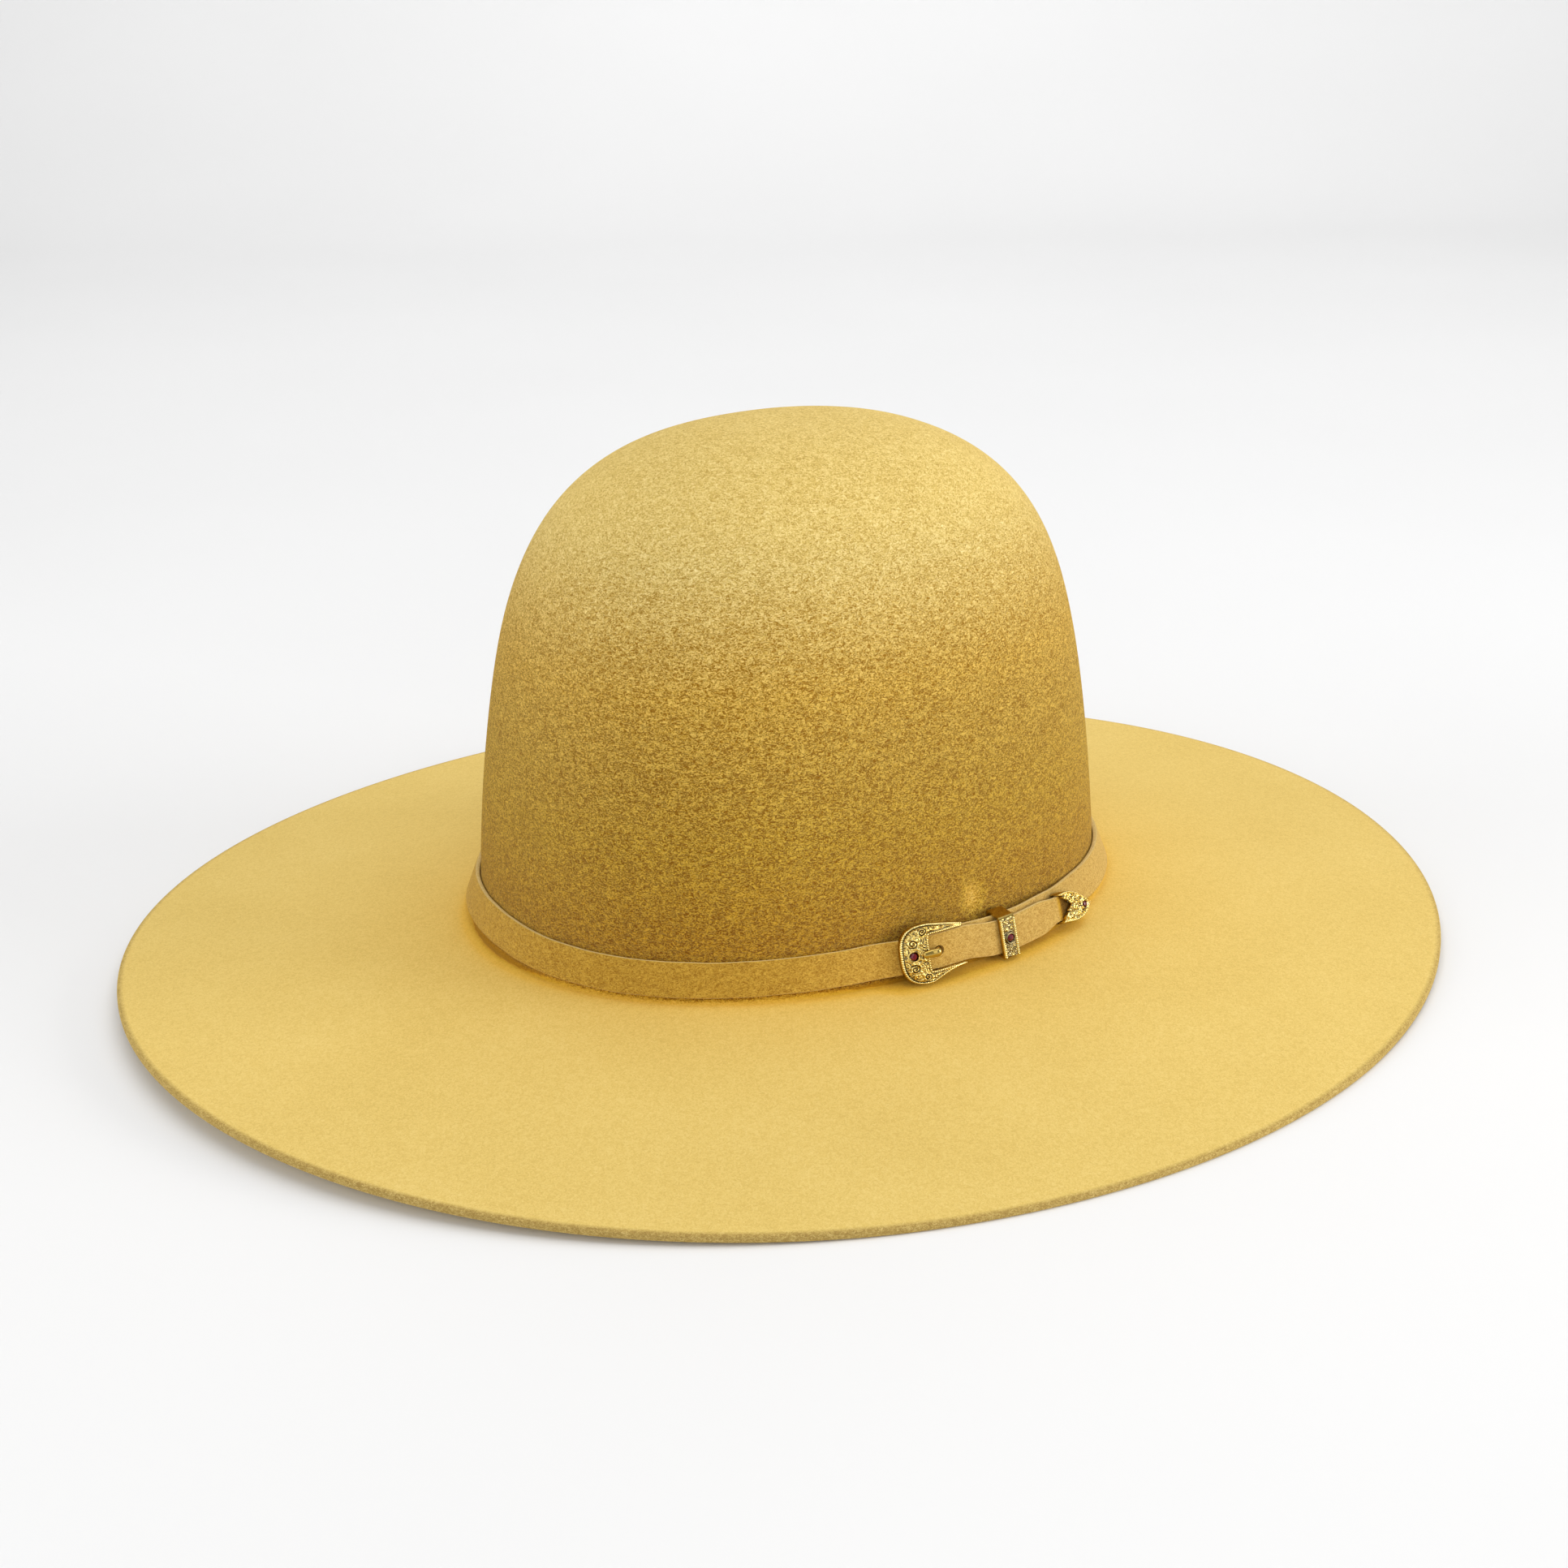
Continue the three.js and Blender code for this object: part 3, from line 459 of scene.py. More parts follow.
def on_band(points):
    """Points of the band's space in the hat's own."""
    along, across, out = points[..., 0], points[..., 1], points[..., 2]
    angle = np.interp(np.mod(along, BAND_LENGTH), band_distances, band_angles)
    up = across + HALF_BAND
    shrink = up * math.sin(FLARE_ANGLE)
    half_length = CROWN_FOOT_LENGTH / 2 - shrink
    half_width = CROWN_FOOT_WIDTH / 2 - shrink
    x, y = oval(half_length, half_width, CROWN_FOOT_SQUARENESS, angle)
    power = CROWN_FOOT_SQUARENESS - 1
    nx = np.sign(x) * np.abs(x / half_width) ** power / half_width
    ny = np.sign(y) * np.abs(y / half_length) ** power / half_length
    level = np.cos(FLARE_ANGLE) / np.hypot(nx, ny)
    normal = np.stack([nx * level, ny * level, np.full_like(x, math.sin(FLARE_ANGLE))], -1)
    wrapped = np.mod(along + BAND_LENGTH / 2, BAND_LENGTH) - BAND_LENGTH / 2
    stand = smoothstep(BAR_AT - BAND_STAND_FADE, BAR_AT, wrapped)
    stand = stand * (1 - smoothstep(TIP_MOUTH_AT, TIP_MOUTH_AT + BAND_STAND_FADE, wrapped))
    out = out + math.tan(BAND_STAND_ANGLE) * stand * up
    foot = np.stack([x, y, BAND_BOTTOM + up * math.cos(FLARE_ANGLE)], -1)
    return foot + normal * out[..., None]


def placed(part, **values):
    """A part that was made in the band's space, with the values of its point attributes."""
    points, faces = part
    return on_band(points), faces, values


def through(rows, along):
    """Smooth curve through rows of a place along the band and a value there."""
    at, value = np.array(rows).T
    along = np.asarray(along, float)
    i = np.clip(np.searchsorted(at, along) - 1, 0, len(at) - 2)
    return mix(value[i], value[i + 1], smoothstep(at[i], at[i + 1], along))


EYE_RADIUS = BAR_RADIUS + CLEARANCE + STRAP_FOLD_WALL
BAR_DEPTH = CLEARANCE + EYE_RADIUS
BILLET_OVER_BAR = BAR_DEPTH + EYE_RADIUS + CLEARANCE
KEEPER_BACK = CLEARANCE + KEEPER_WALL
BASE_UNDER_KEEPER = KEEPER_BACK + CLEARANCE
BILLET_UNDER_KEEPER = BASE_UNDER_KEEPER + BAND_THICKNESS + CLEARANCE
TIP_BACK_OUT = CLEARANCE + BAND_THICKNESS + CLEARANCE
BILLET_IN_TIP = TIP_BACK_OUT + TIP_BACK_THICKNESS + CLEARANCE
HEEL_INNER_AT = BAR_AT - HEEL_TO_BAR
HEEL_OUTER_AT = HEEL_INNER_AT - HEEL_LENGTH
STRAP_JOINS_AT = HEEL_OUTER_AT - STRAP_RUN_OUT
ARM_TIP_AT = BAR_AT + ARM_LENGTH
TIP_POINT_AT = TIP_MOUTH_AT + TIP_LENGTH

BASE_DEPTH_ROWS = [
    (BAR_AT + 2 * EYE_RADIUS, CLEARANCE),
    (KEEPER_AT - KEEPER_WIDTH, BASE_UNDER_KEEPER),
    (KEEPER_AT + KEEPER_WIDTH, BASE_UNDER_KEEPER),
    (TIP_MOUTH_AT - CLEARANCE, CLEARANCE),
]
BILLET_DEPTH_ROWS = [
    (STRAP_JOINS_AT, CLEARANCE),
    (BAR_AT - EYE_RADIUS, BILLET_OVER_BAR),
    (BAR_AT + EYE_RADIUS, BILLET_OVER_BAR),
    (KEEPER_AT - KEEPER_WIDTH, BILLET_UNDER_KEEPER),
    (KEEPER_AT + KEEPER_WIDTH, BILLET_UNDER_KEEPER),
    (TIP_MOUTH_AT, BILLET_IN_TIP),
    (TIP_POINT_AT, BILLET_IN_TIP + TIP_STAND_AWAY),
]
BASE_MIDDLE_ROWS = [(ARM_TIP_AT, 0), (KEEPER_AT, -BASE_DROOP), (TIP_MOUTH_AT, 0)]
BILLET_MIDDLE_ROWS = [
    (STRAP_JOINS_AT, 0),
    (HEEL_INNER_AT, -FRAME_DROP),
    (ARM_TIP_AT, -FRAME_DROP),
    (KEEPER_AT - KEEPER_WIDTH / 2, -BILLET_DROOP - KEEPER_DRAG),
    (KEEPER_AT + KEEPER_WIDTH / 2, -BILLET_DROOP - KEEPER_DRAG),
    (TIP_MOUTH_AT, -BILLET_DROOP),
    (TIP_POINT_AT, -BILLET_DROOP - TIP_DROOP),
]


def tip_half(share):
    share = np.clip(share, 0, 1)
    rounded = np.cos(share * math.pi / 2) ** TIP_ROUNDNESS
    return TIP_HALF_HEIGHT * rounded * mix(TIP_MOUTH_FULLNESS, TIP_POINT_FULLNESS, share)


# The strap

STRAP_ACROSS = 12
STRAP_CORNER = 3

# Slow waves of the strap's middle line and of its width: height, turns per millimetre and start
STRAP_WAVES = [(0.03, 0.21, 0), (0.025, 0.47, 1.3)]
WIDTH_WAVE = (0.006, 0.33, 0)

# Painted shade, darker in front and paler behind, and roughness of nap, as shares of those at the crown's
# foot, in front and behind, and where along the hat they change
BAND_SHADE = 0.45
BAND_SHADE_BACK = 0.14
BAND_NAP = 0.28
BAND_NAP_BACK = 0.2
BAND_SHADE_AND_NAP_CHANGE = (-60, 20)

# Steps along the strap: between the buckle and the tip, round the hat, and over the strap's own start
STRAP_STEPS = (1.0, 2.5, 0.8)


def corner_arcs(middles, first, step, corner, quarter):
    """Rounded corners about their middles, as (y, z) rows, each turned by a step from the one before."""
    arcs = []
    for k, (y, z) in enumerate(middles):
        angle = first + k * step + quarter
        arcs.append(np.stack([y + corner * np.cos(angle), z + corner * np.sin(angle)], -1))
    return arcs


def strap_outline(half, thickness, corner):
    """Rounded rectangle across the strap, as (y, z) rows, from its lower back corner."""
    low, high, front = corner - half, half - corner, thickness - corner
    middles = (low, corner), (low, front), (high, front), (high, corner)
    quarter = np.linspace(math.pi / 2, 0, STRAP_CORNER + 1)
    corners = corner_arcs(middles, math.pi, -math.pi / 2, corner, quarter)
    rows = []
    for here, there, steps in zip(corners, corners[1:] + corners[:1], (2, STRAP_ACROSS) * 2):
        rows += [here, mix(here[-1], there[0], (np.arange(1, steps) / steps)[:, None])]
    return np.concatenate(rows)


def wave(along, height, turns, start):
    return height * math.sin(along * turns + start)


def strap_rings(stations):
    """Sections of the strap, one for each station along it."""
    mouth = BAND_LENGTH + TIP_MOUTH_AT
    taper_start = mouth - STRAP_TAPER_LENGTH
    rings = []
    for along in stations:
        back = along - BAND_LENGTH
        pocket = float(tip_half((along - mouth) / TIP_LENGTH)) - TIP_WALL - CLEARANCE
        half = HALF_BAND
        if along >= mouth:
            half = max(pocket, TIP_WALL)
        elif along > taper_start:
            half = mix(HALF_BAND, pocket, float(smoothstep(taper_start, mouth, along)))
        if along < BAND_LENGTH / 2:
            depth, middle = through(BASE_DEPTH_ROWS, along), through(BASE_MIDDLE_ROWS, along)
        else:
            depth, middle = through(BILLET_DEPTH_ROWS, back), through(BILLET_MIDDLE_ROWS, back)
        outline = strap_outline(half, BAND_THICKNESS, min(BAND_CORNER_ROUND, half / 2))
        shift = middle + sum(wave(along, *row) for row in STRAP_WAVES)
        ring = np.empty((len(outline), 3))
        ring[:, 0] = along
        ring[:, 1] = shift + outline[:, 0] * (1 + wave(along, *WIDTH_WAVE))
        ring[:, 2] = depth + outline[:, 1]
        rings.append(ring)
    return np.array(rings)


def tube(radius, inner, depth, low, high, sides=32):
    """Round sleeve across the strap, around the bar's place, with a hole if inner isn't 0."""
    angle = circle(sides)

    def ring(r, y):
        return np.stack([BAR_AT + r * np.sin(angle), np.full(sides, y), depth + r * np.cos(angle)], -1)

    rings = [ring(radius, low), ring(radius, high)]
    if inner:
        rings += [ring(inner, high), ring(inner, low), ring(radius, low)]
    return loft(np.array(rings)[::-1], closed_ends=not inner)


def ellipse_bar(x, y, half_x, half_y, low, high, sides=40):
    angle = circle(sides)
    flat = x + half_x * np.cos(angle), y + half_y * np.sin(angle)
    return loft(np.array([np.stack([*flat, np.full(sides, z)], -1) for z in (high, low)]))


def hat_band():
    base_start = BAR_AT + BAR_RADIUS + CLEARANCE + STRAP_FOLD_WALL / 2
    strap_end = BAND_LENGTH + TIP_POINT_AT - STRAP_END_ROOM
    ends = (base_start, TIP_MOUTH_AT, BAND_LENGTH + STRAP_JOINS_AT, strap_end)
    stations = np.concatenate([np.arange(*span) for span in zip(ends, ends[1:], STRAP_STEPS)])
    strap = loft(strap_rings(stations))
    hole_at = BAND_LENGTH + BAR_AT - EYE_RADIUS / 2, float(through(BILLET_MIDDLE_ROWS, BAR_AT))
    hole_half = PRONG_HOLE_LENGTH / 2, PRONG_HOLE_WIDTH / 2
    points, faces = cut_away(strap, ellipse_bar(*hole_at, *hole_half, BAR_DEPTH, BAR_DEPTH + 9))
    along = points[:, 0] - BAND_LENGTH
    depth = np.where(
        points[:, 0] > BAND_LENGTH / 2,
        through(BILLET_DEPTH_ROWS, along),
        through(BASE_DEPTH_ROWS, points[:, 0]),
    )
    up = (points[:, 2] - depth) / BAND_THICKNESS
    cut = smoothstep(0.02, 0.2, up) * (1 - smoothstep(0.8, 0.98, up))
    # Painted shade on the band: darker in front than behind, and darkest inside the tip's mouth
    to_back = smoothstep(*BAND_SHADE_AND_NAP_CHANGE, on_band(points)[:, 1])
    shade_in_tip = smoothstep(TIP_MOUTH_AT - 0.5, TIP_MOUTH_AT + 1.5, along)
    foot = mix(mix(BAND_SHADE, BAND_SHADE_BACK, to_back), 1, shade_in_tip)
    nap = mix(BAND_NAP, BAND_NAP_BACK, to_back)
    slot_half = PRONG_WIDTH / 2 + CLEARANCE
    sleeves = (-HALF_BAND, -FRAME_DROP - slot_half), (-FRAME_DROP + slot_half, HALF_BAND)
    return [placed((points, faces), relief=cut, foot=foot, nap=nap)] + [
        placed(tube(EYE_RADIUS, BAR_RADIUS + CLEARANCE, BAR_DEPTH, *ends), foot=BAND_SHADE, nap=BAND_NAP)
        for ends in sleeves
    ]


# Cast relief. Heights are in millimetres over the plain face.


def beads(along, from_edge, pitch, radius, inset):
    """Row of round beads beside an edge."""
    phase = np.mod(along / pitch, 1) - 0.5
    squared = (phase * pitch / radius) ** 2 + ((from_edge - inset) / radius) ** 2
    return radius * np.sqrt(np.clip(1 - squared, 0, 1))


# How far the lines of a scroll stray from a true spiral, and over what length
SCROLL_WANDER = 0.3
WANDER_SIZE = 1.3

# What the three fittings share: the relief's lowest and highest value, the rise of the beads, how far from an
# edge the relief starts, and the width of the rounding there
PATTERN_RANGE = (-1.2, 1.4)
BEAD_RISE = 1.05
FIELD_FROM = 0.75
EDGE_ROUND = 0.16


def scroll(x, y, centre_x, centre_y, reach, pitch, turn):
    """Spiral ridge that rolls up to its centre, with a ring of small leaves round it."""
    dx = x - centre_x + SCROLL_WANDER * flat_noise(x, y, WANDER_SIZE)
    dy = y - centre_y + SCROLL_WANDER * flat_noise(x, y, WANDER_SIZE, 40)
    radius = np.hypot(dx, dy)
    angle = np.arctan2(dy, dx)
    ridge = np.cos(FULL_TURN * (radius / pitch + turn * angle / FULL_TURN))
    inside = 1 - smoothstep(reach * 0.75, reach, radius)
    leaves = np.clip(np.cos(angle * 7 + turn), 0, 1) * np.exp(-(((radius - reach) / (pitch * 0.5)) ** 2))
    return ridge * inside + leaves


def flower(x, y, centre_x, centre_y, reach, petals):
    dx, dy = x - centre_x, y - centre_y
    radius = np.hypot(dx, dy)
    angle = np.arctan2(dy, dx)
    petal = 0.62 + 0.38 * np.cos(angle * petals)
    body = 1 - smoothstep(reach * petal * 0.8, reach * petal, radius)
    groove = np.exp(-((np.cos(angle * petals) + 1) / 0.25)) * smoothstep(0.2, 0.5, radius / reach)
    centre = np.sqrt(np.clip(1 - (radius / (reach * 0.28)) ** 2, 0, 1))
    return body * (1 - 0.8 * groove) + 0.6 * centre - 0.2


def socket(height, x, y, at_x, at_y, radius, top, floor):
    """The height field with a stone's socket let into it: a hollow inside a rounded lip."""
    distance = np.hypot(x - at_x, y - at_y)
    hollow = radius + STONE_CLEARANCE
    lip_middle = hollow + SOCKET_LIP / 2
    ring = top + 0.18 * np.sqrt(np.clip(1 - ((distance - lip_middle) / (SOCKET_LIP / 2)) ** 2, 0, 1))
    outside = smoothstep(hollow + SOCKET_LIP, hollow + SOCKET_LIP + 0.15, distance)
    height = mix(ring, height, outside)
    return np.where(distance < hollow, floor, height)


# Buckle frame


def frame_back(along):
    heel = through(BILLET_DEPTH_ROWS, (HEEL_OUTER_AT, HEEL_INNER_AT)) + BAND_THICKNESS + CLEARANCE
    rows = [
        (HEEL_OUTER_AT, heel[0] + FRAME_RISE),
        (HEEL_INNER_AT, heel[1] + FRAME_RISE),
        (ARM_TIP_AT, heel[1] - ARM_TIP_DROP),
    ]
    return through(rows, along)


# Each arm's share of the way along the frame
ARM_SHARE = 0.3


def frame_edges(share):
    """Outer and inner edge of the frame at a share of the way from its upper tip to its lower one."""
    side = 1 if share < 0.5 else -1
    tip_width, sweep = (ARM_TIP_WIDTH, ARM_SWEEP) if side > 0 else (LOW_ARM_TIP_WIDTH, LOW_ARM_SWEEP)
    from_tip = min(share, 1 - share)
    inner_half = HALF_BAND + CLEARANCE
    heel_middle = HEEL_OUTER_AT + FRAME_HALF_HEIGHT
    if from_tip < ARM_SHARE:
        along = from_tip / ARM_SHARE
        outer_half = mix(inner_half + tip_width, FRAME_HALF_HEIGHT, along**sweep)
        outer = mix(ARM_TIP_AT, heel_middle, along), side * outer_half
        inner = mix(ARM_TIP_AT - ARM_TIP_WIDTH / 2, HEEL_INNER_AT + ARM_TIP_WIDTH, along), side * inner_half
        return outer, inner
    turn = (from_tip - ARM_SHARE) / (0.5 - ARM_SHARE) * math.pi / 2
    outer_power, inner_power = 2 / FRAME_OUTER_SQUARENESS, 2 / FRAME_INNER_SQUARENESS
    sine, cosine = math.sin(turn), max(math.cos(turn), 0)
    outer_x = heel_middle - FRAME_HALF_HEIGHT * sine**outer_power
    inner_x = HEEL_INNER_AT + ARM_TIP_WIDTH * (1 - sine**inner_power)
    outer_y, inner_y = FRAME_HALF_HEIGHT * cosine**outer_power, inner_half * cosine**inner_power
    return (outer_x, side * outer_y), (inner_x, side * inner_y)


FRAME_STATIONS = 420
FRAME_ACROSS = 64

# Its face: height of the heel's dome and of the relief, and the beads' pitch, radius and place at each edge
HEEL_DOME = 0.8
RELIEF_HEIGHT = 0.26
OUTER_BEADS = (0.68, 0.33, 0.42)
INNER_BEADS = (0.68, 0.3, 0.4)
FRAME_SCROLL_PITCH = 0.72
LEAF_SIZE = 0.75
STONE_SEAT_RISE = 0.7

# The frame is curved across the strap: its arms lie this much lower than the middle of its heel.
UPPER_SAG = 1.7
LOWER_SAG = 0.9


def frame_sag(y):
    share = (np.asarray(y) + FRAME_DROP) / FRAME_HALF_HEIGHT
    return np.where(share > 0, UPPER_SAG, LOWER_SAG) * share**2


def leafy_ground(x, y, size):
    """Irregular fine ridges, like the leaves between cast scrolls, from -1 to 1."""
    return np.clip(1 - 4.5 * np.abs(flat_noise(x, y, size)), -1, 1)


def edge_slope(height, from_edge):
    """How much lower the face is in its rounding, beside an edge."""
    return height * (1 - smoothstep(0, EDGE_ROUND, from_edge))


# Scrolls of the heel and the arms: place along, distance from the middle line, reach and turn. Each is there
# once above the middle line and once below it, turned the other way.
FRAME_SCROLLS = [
    (-9.4, 3.7, 1.7, 1),
    (-6.3, 6.7, 1.5, -1),
    (-6.2, 2.6, 0.9, 1),
    (-2.6, 7.6, 0.9, 1),
    (0.2, 7.2, 0.65, -1),
]


def face_shares():
    """Shares of the way across the frame's face, closer together at its edges."""
    even = np.linspace(0, 1, FRAME_ACROSS + 1)
    return mix(even, (1 - np.cos(even * math.pi)) / 2, 0.35)


def frame_height(x, y, share, width, outer_run, inner_run):
    """Height of the frame's face over its back, and how raised or sunk its relief is."""
    from_outer, from_inner = width * share, width * (1 - share)
    nearest = np.minimum(from_outer, from_inner)
    field = smoothstep(FIELD_FROM, 1.15, nearest)
    pattern, covered = 0, 0
    for side, (cx, away, reach, turn) in itertools.product((1, -1), FRAME_SCROLLS):
        cy = side * away - FRAME_DROP
        pattern = pattern + scroll(x, y, cx, cy, reach, FRAME_SCROLL_PITCH, side * turn)
        covered = covered + 1 - smoothstep(reach, reach + 0.4, np.hypot(x - cx, y - cy))
    ground = 0.6 * leafy_ground(x, y, LEAF_SIZE) * (1 - np.clip(covered, 0, 1))
    pattern = np.clip(pattern + ground, *PATTERN_RANGE) * field
    dome = HEEL_DOME * np.sin(share * math.pi) ** 0.7 * smoothstep(1.5, 4, width) * field
    bead = np.maximum(beads(outer_run, from_outer, *OUTER_BEADS), beads(inner_run, from_inner, *INNER_BEADS))
    groove = 0.12 * np.exp(-(((nearest - 0.88) / 0.1) ** 2)) * smoothstep(1.6, 2.4, width)
    raised = dome + BEAD_RISE * bead + RELIEF_HEIGHT * pattern
    height = FRAME_THICKNESS - edge_slope(0.25, nearest) - groove + raised
    relief = np.clip(0.55 * pattern + bead * 3 * (nearest < 0.8) - groove * 6, -1, 1)
    return height, relief


def buckle_frame():
    fine = np.array([frame_edges(k / 2000) for k in range(2001)])
    length = run_length(fine.mean(1))
    at = np.linspace(0, length[-1], FRAME_STATIONS + 1)
    outer, inner = points_at(at, length, fine[:, 0]), points_at(at, length, fine[:, 1])
    width = np.linalg.norm(outer - inner, axis=-1)[:, None]
    runs = run_length(outer)[:, None], run_length(inner)[:, None]

    def across(share):
        rows = mix(outer[:, None], inner[:, None], share[:, None])
        x, y = rows[..., 0], rows[..., 1] - FRAME_DROP
        return x, y, frame_back(x) - frame_sag(y)

    share = face_shares()
    x, y, back = across(share)
    height, relief = frame_height(x, y, share, width, *runs)
    stone_x = HEEL_OUTER_AT + HEEL_LENGTH * BUCKLE_STONE_SHARE
    stone_floor = FRAME_THICKNESS * 0.5 + STONE_SEAT_RISE / 2
    stone_top = FRAME_THICKNESS + STONE_SEAT_RISE
    height = socket(height, x, y, stone_x, -FRAME_DROP, STONE_RADIUS, stone_top, stone_floor)
    face = np.stack([x, y, back + height], -1)
    sides = np.stack([x, y, back + FRAME_THICKNESS * 0.45], -1)
    under = np.stack(across(np.linspace(1, 0, 9)), -1)
    rings = np.concatenate([face, sides[:, -1:], under, sides[:, :1]], 1)
    values = np.concatenate([relief, np.zeros((len(rings), rings.shape[1] - relief.shape[1]))], 1)
    post_middle = HALF_BAND + CLEARANCE + FRAME_DROP + POST_WIDTH / 2
    bar = tube(BAR_RADIUS, 0, BAR_DEPTH, -FRAME_DROP - post_middle, -FRAME_DROP + post_middle, 24)
    parts = [placed(loft(rings), relief=np.append(values.reshape(-1), [0, 0])), placed(bar)]
    for side in (-1, 1):
        middle_y = -FRAME_DROP + side * post_middle
        top = float(frame_back(BAR_AT) - frame_sag(middle_y)) + FRAME_THICKNESS / 2
        post = ellipse_bar(BAR_AT, middle_y, POST_WIDTH / 2, POST_WIDTH / 2, BAR_DEPTH - BAR_RADIUS, top, 24)
        parts.append(placed(post))
    return parts, (stone_x, -FRAME_DROP, float(frame_back(stone_x)) + stone_floor)


# Prong


def prong():
    strap_face = BILLET_OVER_BAR + BAND_THICKNESS
    heel_face = float(frame_back(HEEL_INNER_AT)) + FRAME_THICKNESS + RIM_HEIGHT
    lying = heel_face + CLEARANCE * 0.5 + PRONG_THICKNESS / 2
    bend = max(strap_face + CLEARANCE + PRONG_THICKNESS / 2, lying) + PRONG_THICKNESS / 3
    rise_at = BAR_AT - EYE_RADIUS / 2
    controls = [
        (rise_at, BAR_DEPTH + EYE_RADIUS - STRAP_FOLD_WALL / 2),
        (rise_at, strap_face - PRONG_THICKNESS / 4),
        (rise_at - PRONG_THICKNESS, strap_face + PRONG_THICKNESS),
        ((rise_at + HEEL_INNER_AT) / 2, bend),
        (HEEL_INNER_AT, lying),
        (HEEL_INNER_AT - PRONG_OVER_HEEL, lying - RIM_HEIGHT / 2),
    ]
    path = smooth_path(np.array(controls), 60)
    forward = np.gradient(path, axis=0)
    forward /= np.linalg.norm(forward, axis=-1, keepdims=True)
    lift = np.stack([forward[:, 1], -forward[:, 0]], -1)
    share = np.linspace(0, 1, len(path))
    slim = 1 - 0.25 * smoothstep(0.8, 1, share)
    tip = np.sqrt(np.clip(1 - ((share - 0.965) / 0.035).clip(0, 1) ** 2, 0.02, 1))
    angle = circle(28)
    rings = []
    for (px, pz), (lx, lz), s in zip(path, lift, slim * tip):
        up = np.cos(angle) * PRONG_THICKNESS / 2 * s
        across = -np.sin(angle) * PRONG_WIDTH / 2 * s - FRAME_DROP
        rings.append(np.stack([px + lx * up, across, pz + lz * up], -1))
    low, high = -FRAME_DROP - PRONG_WIDTH / 2, -FRAME_DROP + PRONG_WIDTH / 2
    eye = tube(EYE_RADIUS, BAR_RADIUS + CLEARANCE, BAR_DEPTH, low, high)
    return [placed(loft(np.array(rings))), placed(eye)]


def smooth_path(controls, count):
    """Catmull-Rom curve through control points."""
    padded = np.vstack([2 * controls[0] - controls[1], controls, 2 * controls[-1] - controls[-2]])
    spans = len(controls) - 1
    out = []
    for t in np.linspace(0, spans, count):
        i = min(int(t), spans - 1)
        u = t - i
        a, b, c, d = padded[i : i + 4]
        square, cube = 2 * a - 5 * b + 4 * c - d, 3 * b - a - 3 * c + d
        out.append(0.5 * (2 * b + (c - a) * u + square * u**2 + cube * u**3))
    return np.array(out)


# Keeper loop

KEEPER_INSIDE = BILLET_UNDER_KEEPER + BAND_THICKNESS + CLEARANCE
KEEPER_FACE = KEEPER_INSIDE + KEEPER_FACE_THICKNESS
KEEPER_BOTTOM = -HALF_BAND - KEEPER_ROOM
KEEPER_TOP = HALF_BAND + KEEPER_ROOM
KEEPER_ALONG = 56
KEEPER_STEP = 0.12
KEEPER_BEADS = (0.66, 0.3, 0.4)
KEEPER_SEAT = -0.55


def rounded_box_path(low, high, back, front, corner):
    """Closed outline across the strap, as (y, z) rows, from the face's top corner down the face."""
    low, high, back, front = low + corner, high - corner, back + corner, front - corner
    middles = (high, front), (low, front), (low, back), (high, back)
    rows = corner_arcs(middles, 0, math.pi / 2, corner, np.linspace(0, math.pi / 2, 8))
    rows = np.concatenate([*rows, rows[0][:1]])
    run = run_length(rows)
    count = int(run[-1] / KEEPER_STEP)
    return points_at(np.linspace(0, run[-1], count + 1)[:-1], run, rows)


# Flowers of the keeper's face: place, reach and petals. Scrolls: place, reach, pitch and turn.
KEEPER_FLOWERS = [(side * 0.95, y, reach, 5) for y, reach in ((4.9, 1.0), (2.9, 0.95)) for side in (-1, 1)]
KEEPER_FLOWERS.append((0, -5.2, 1.0, 6))
KEEPER_SCROLLS = [(-0.9, -2.9, 0.85, 0.55, 1), (0.95, -3.5, 0.85, 0.55, -1)]


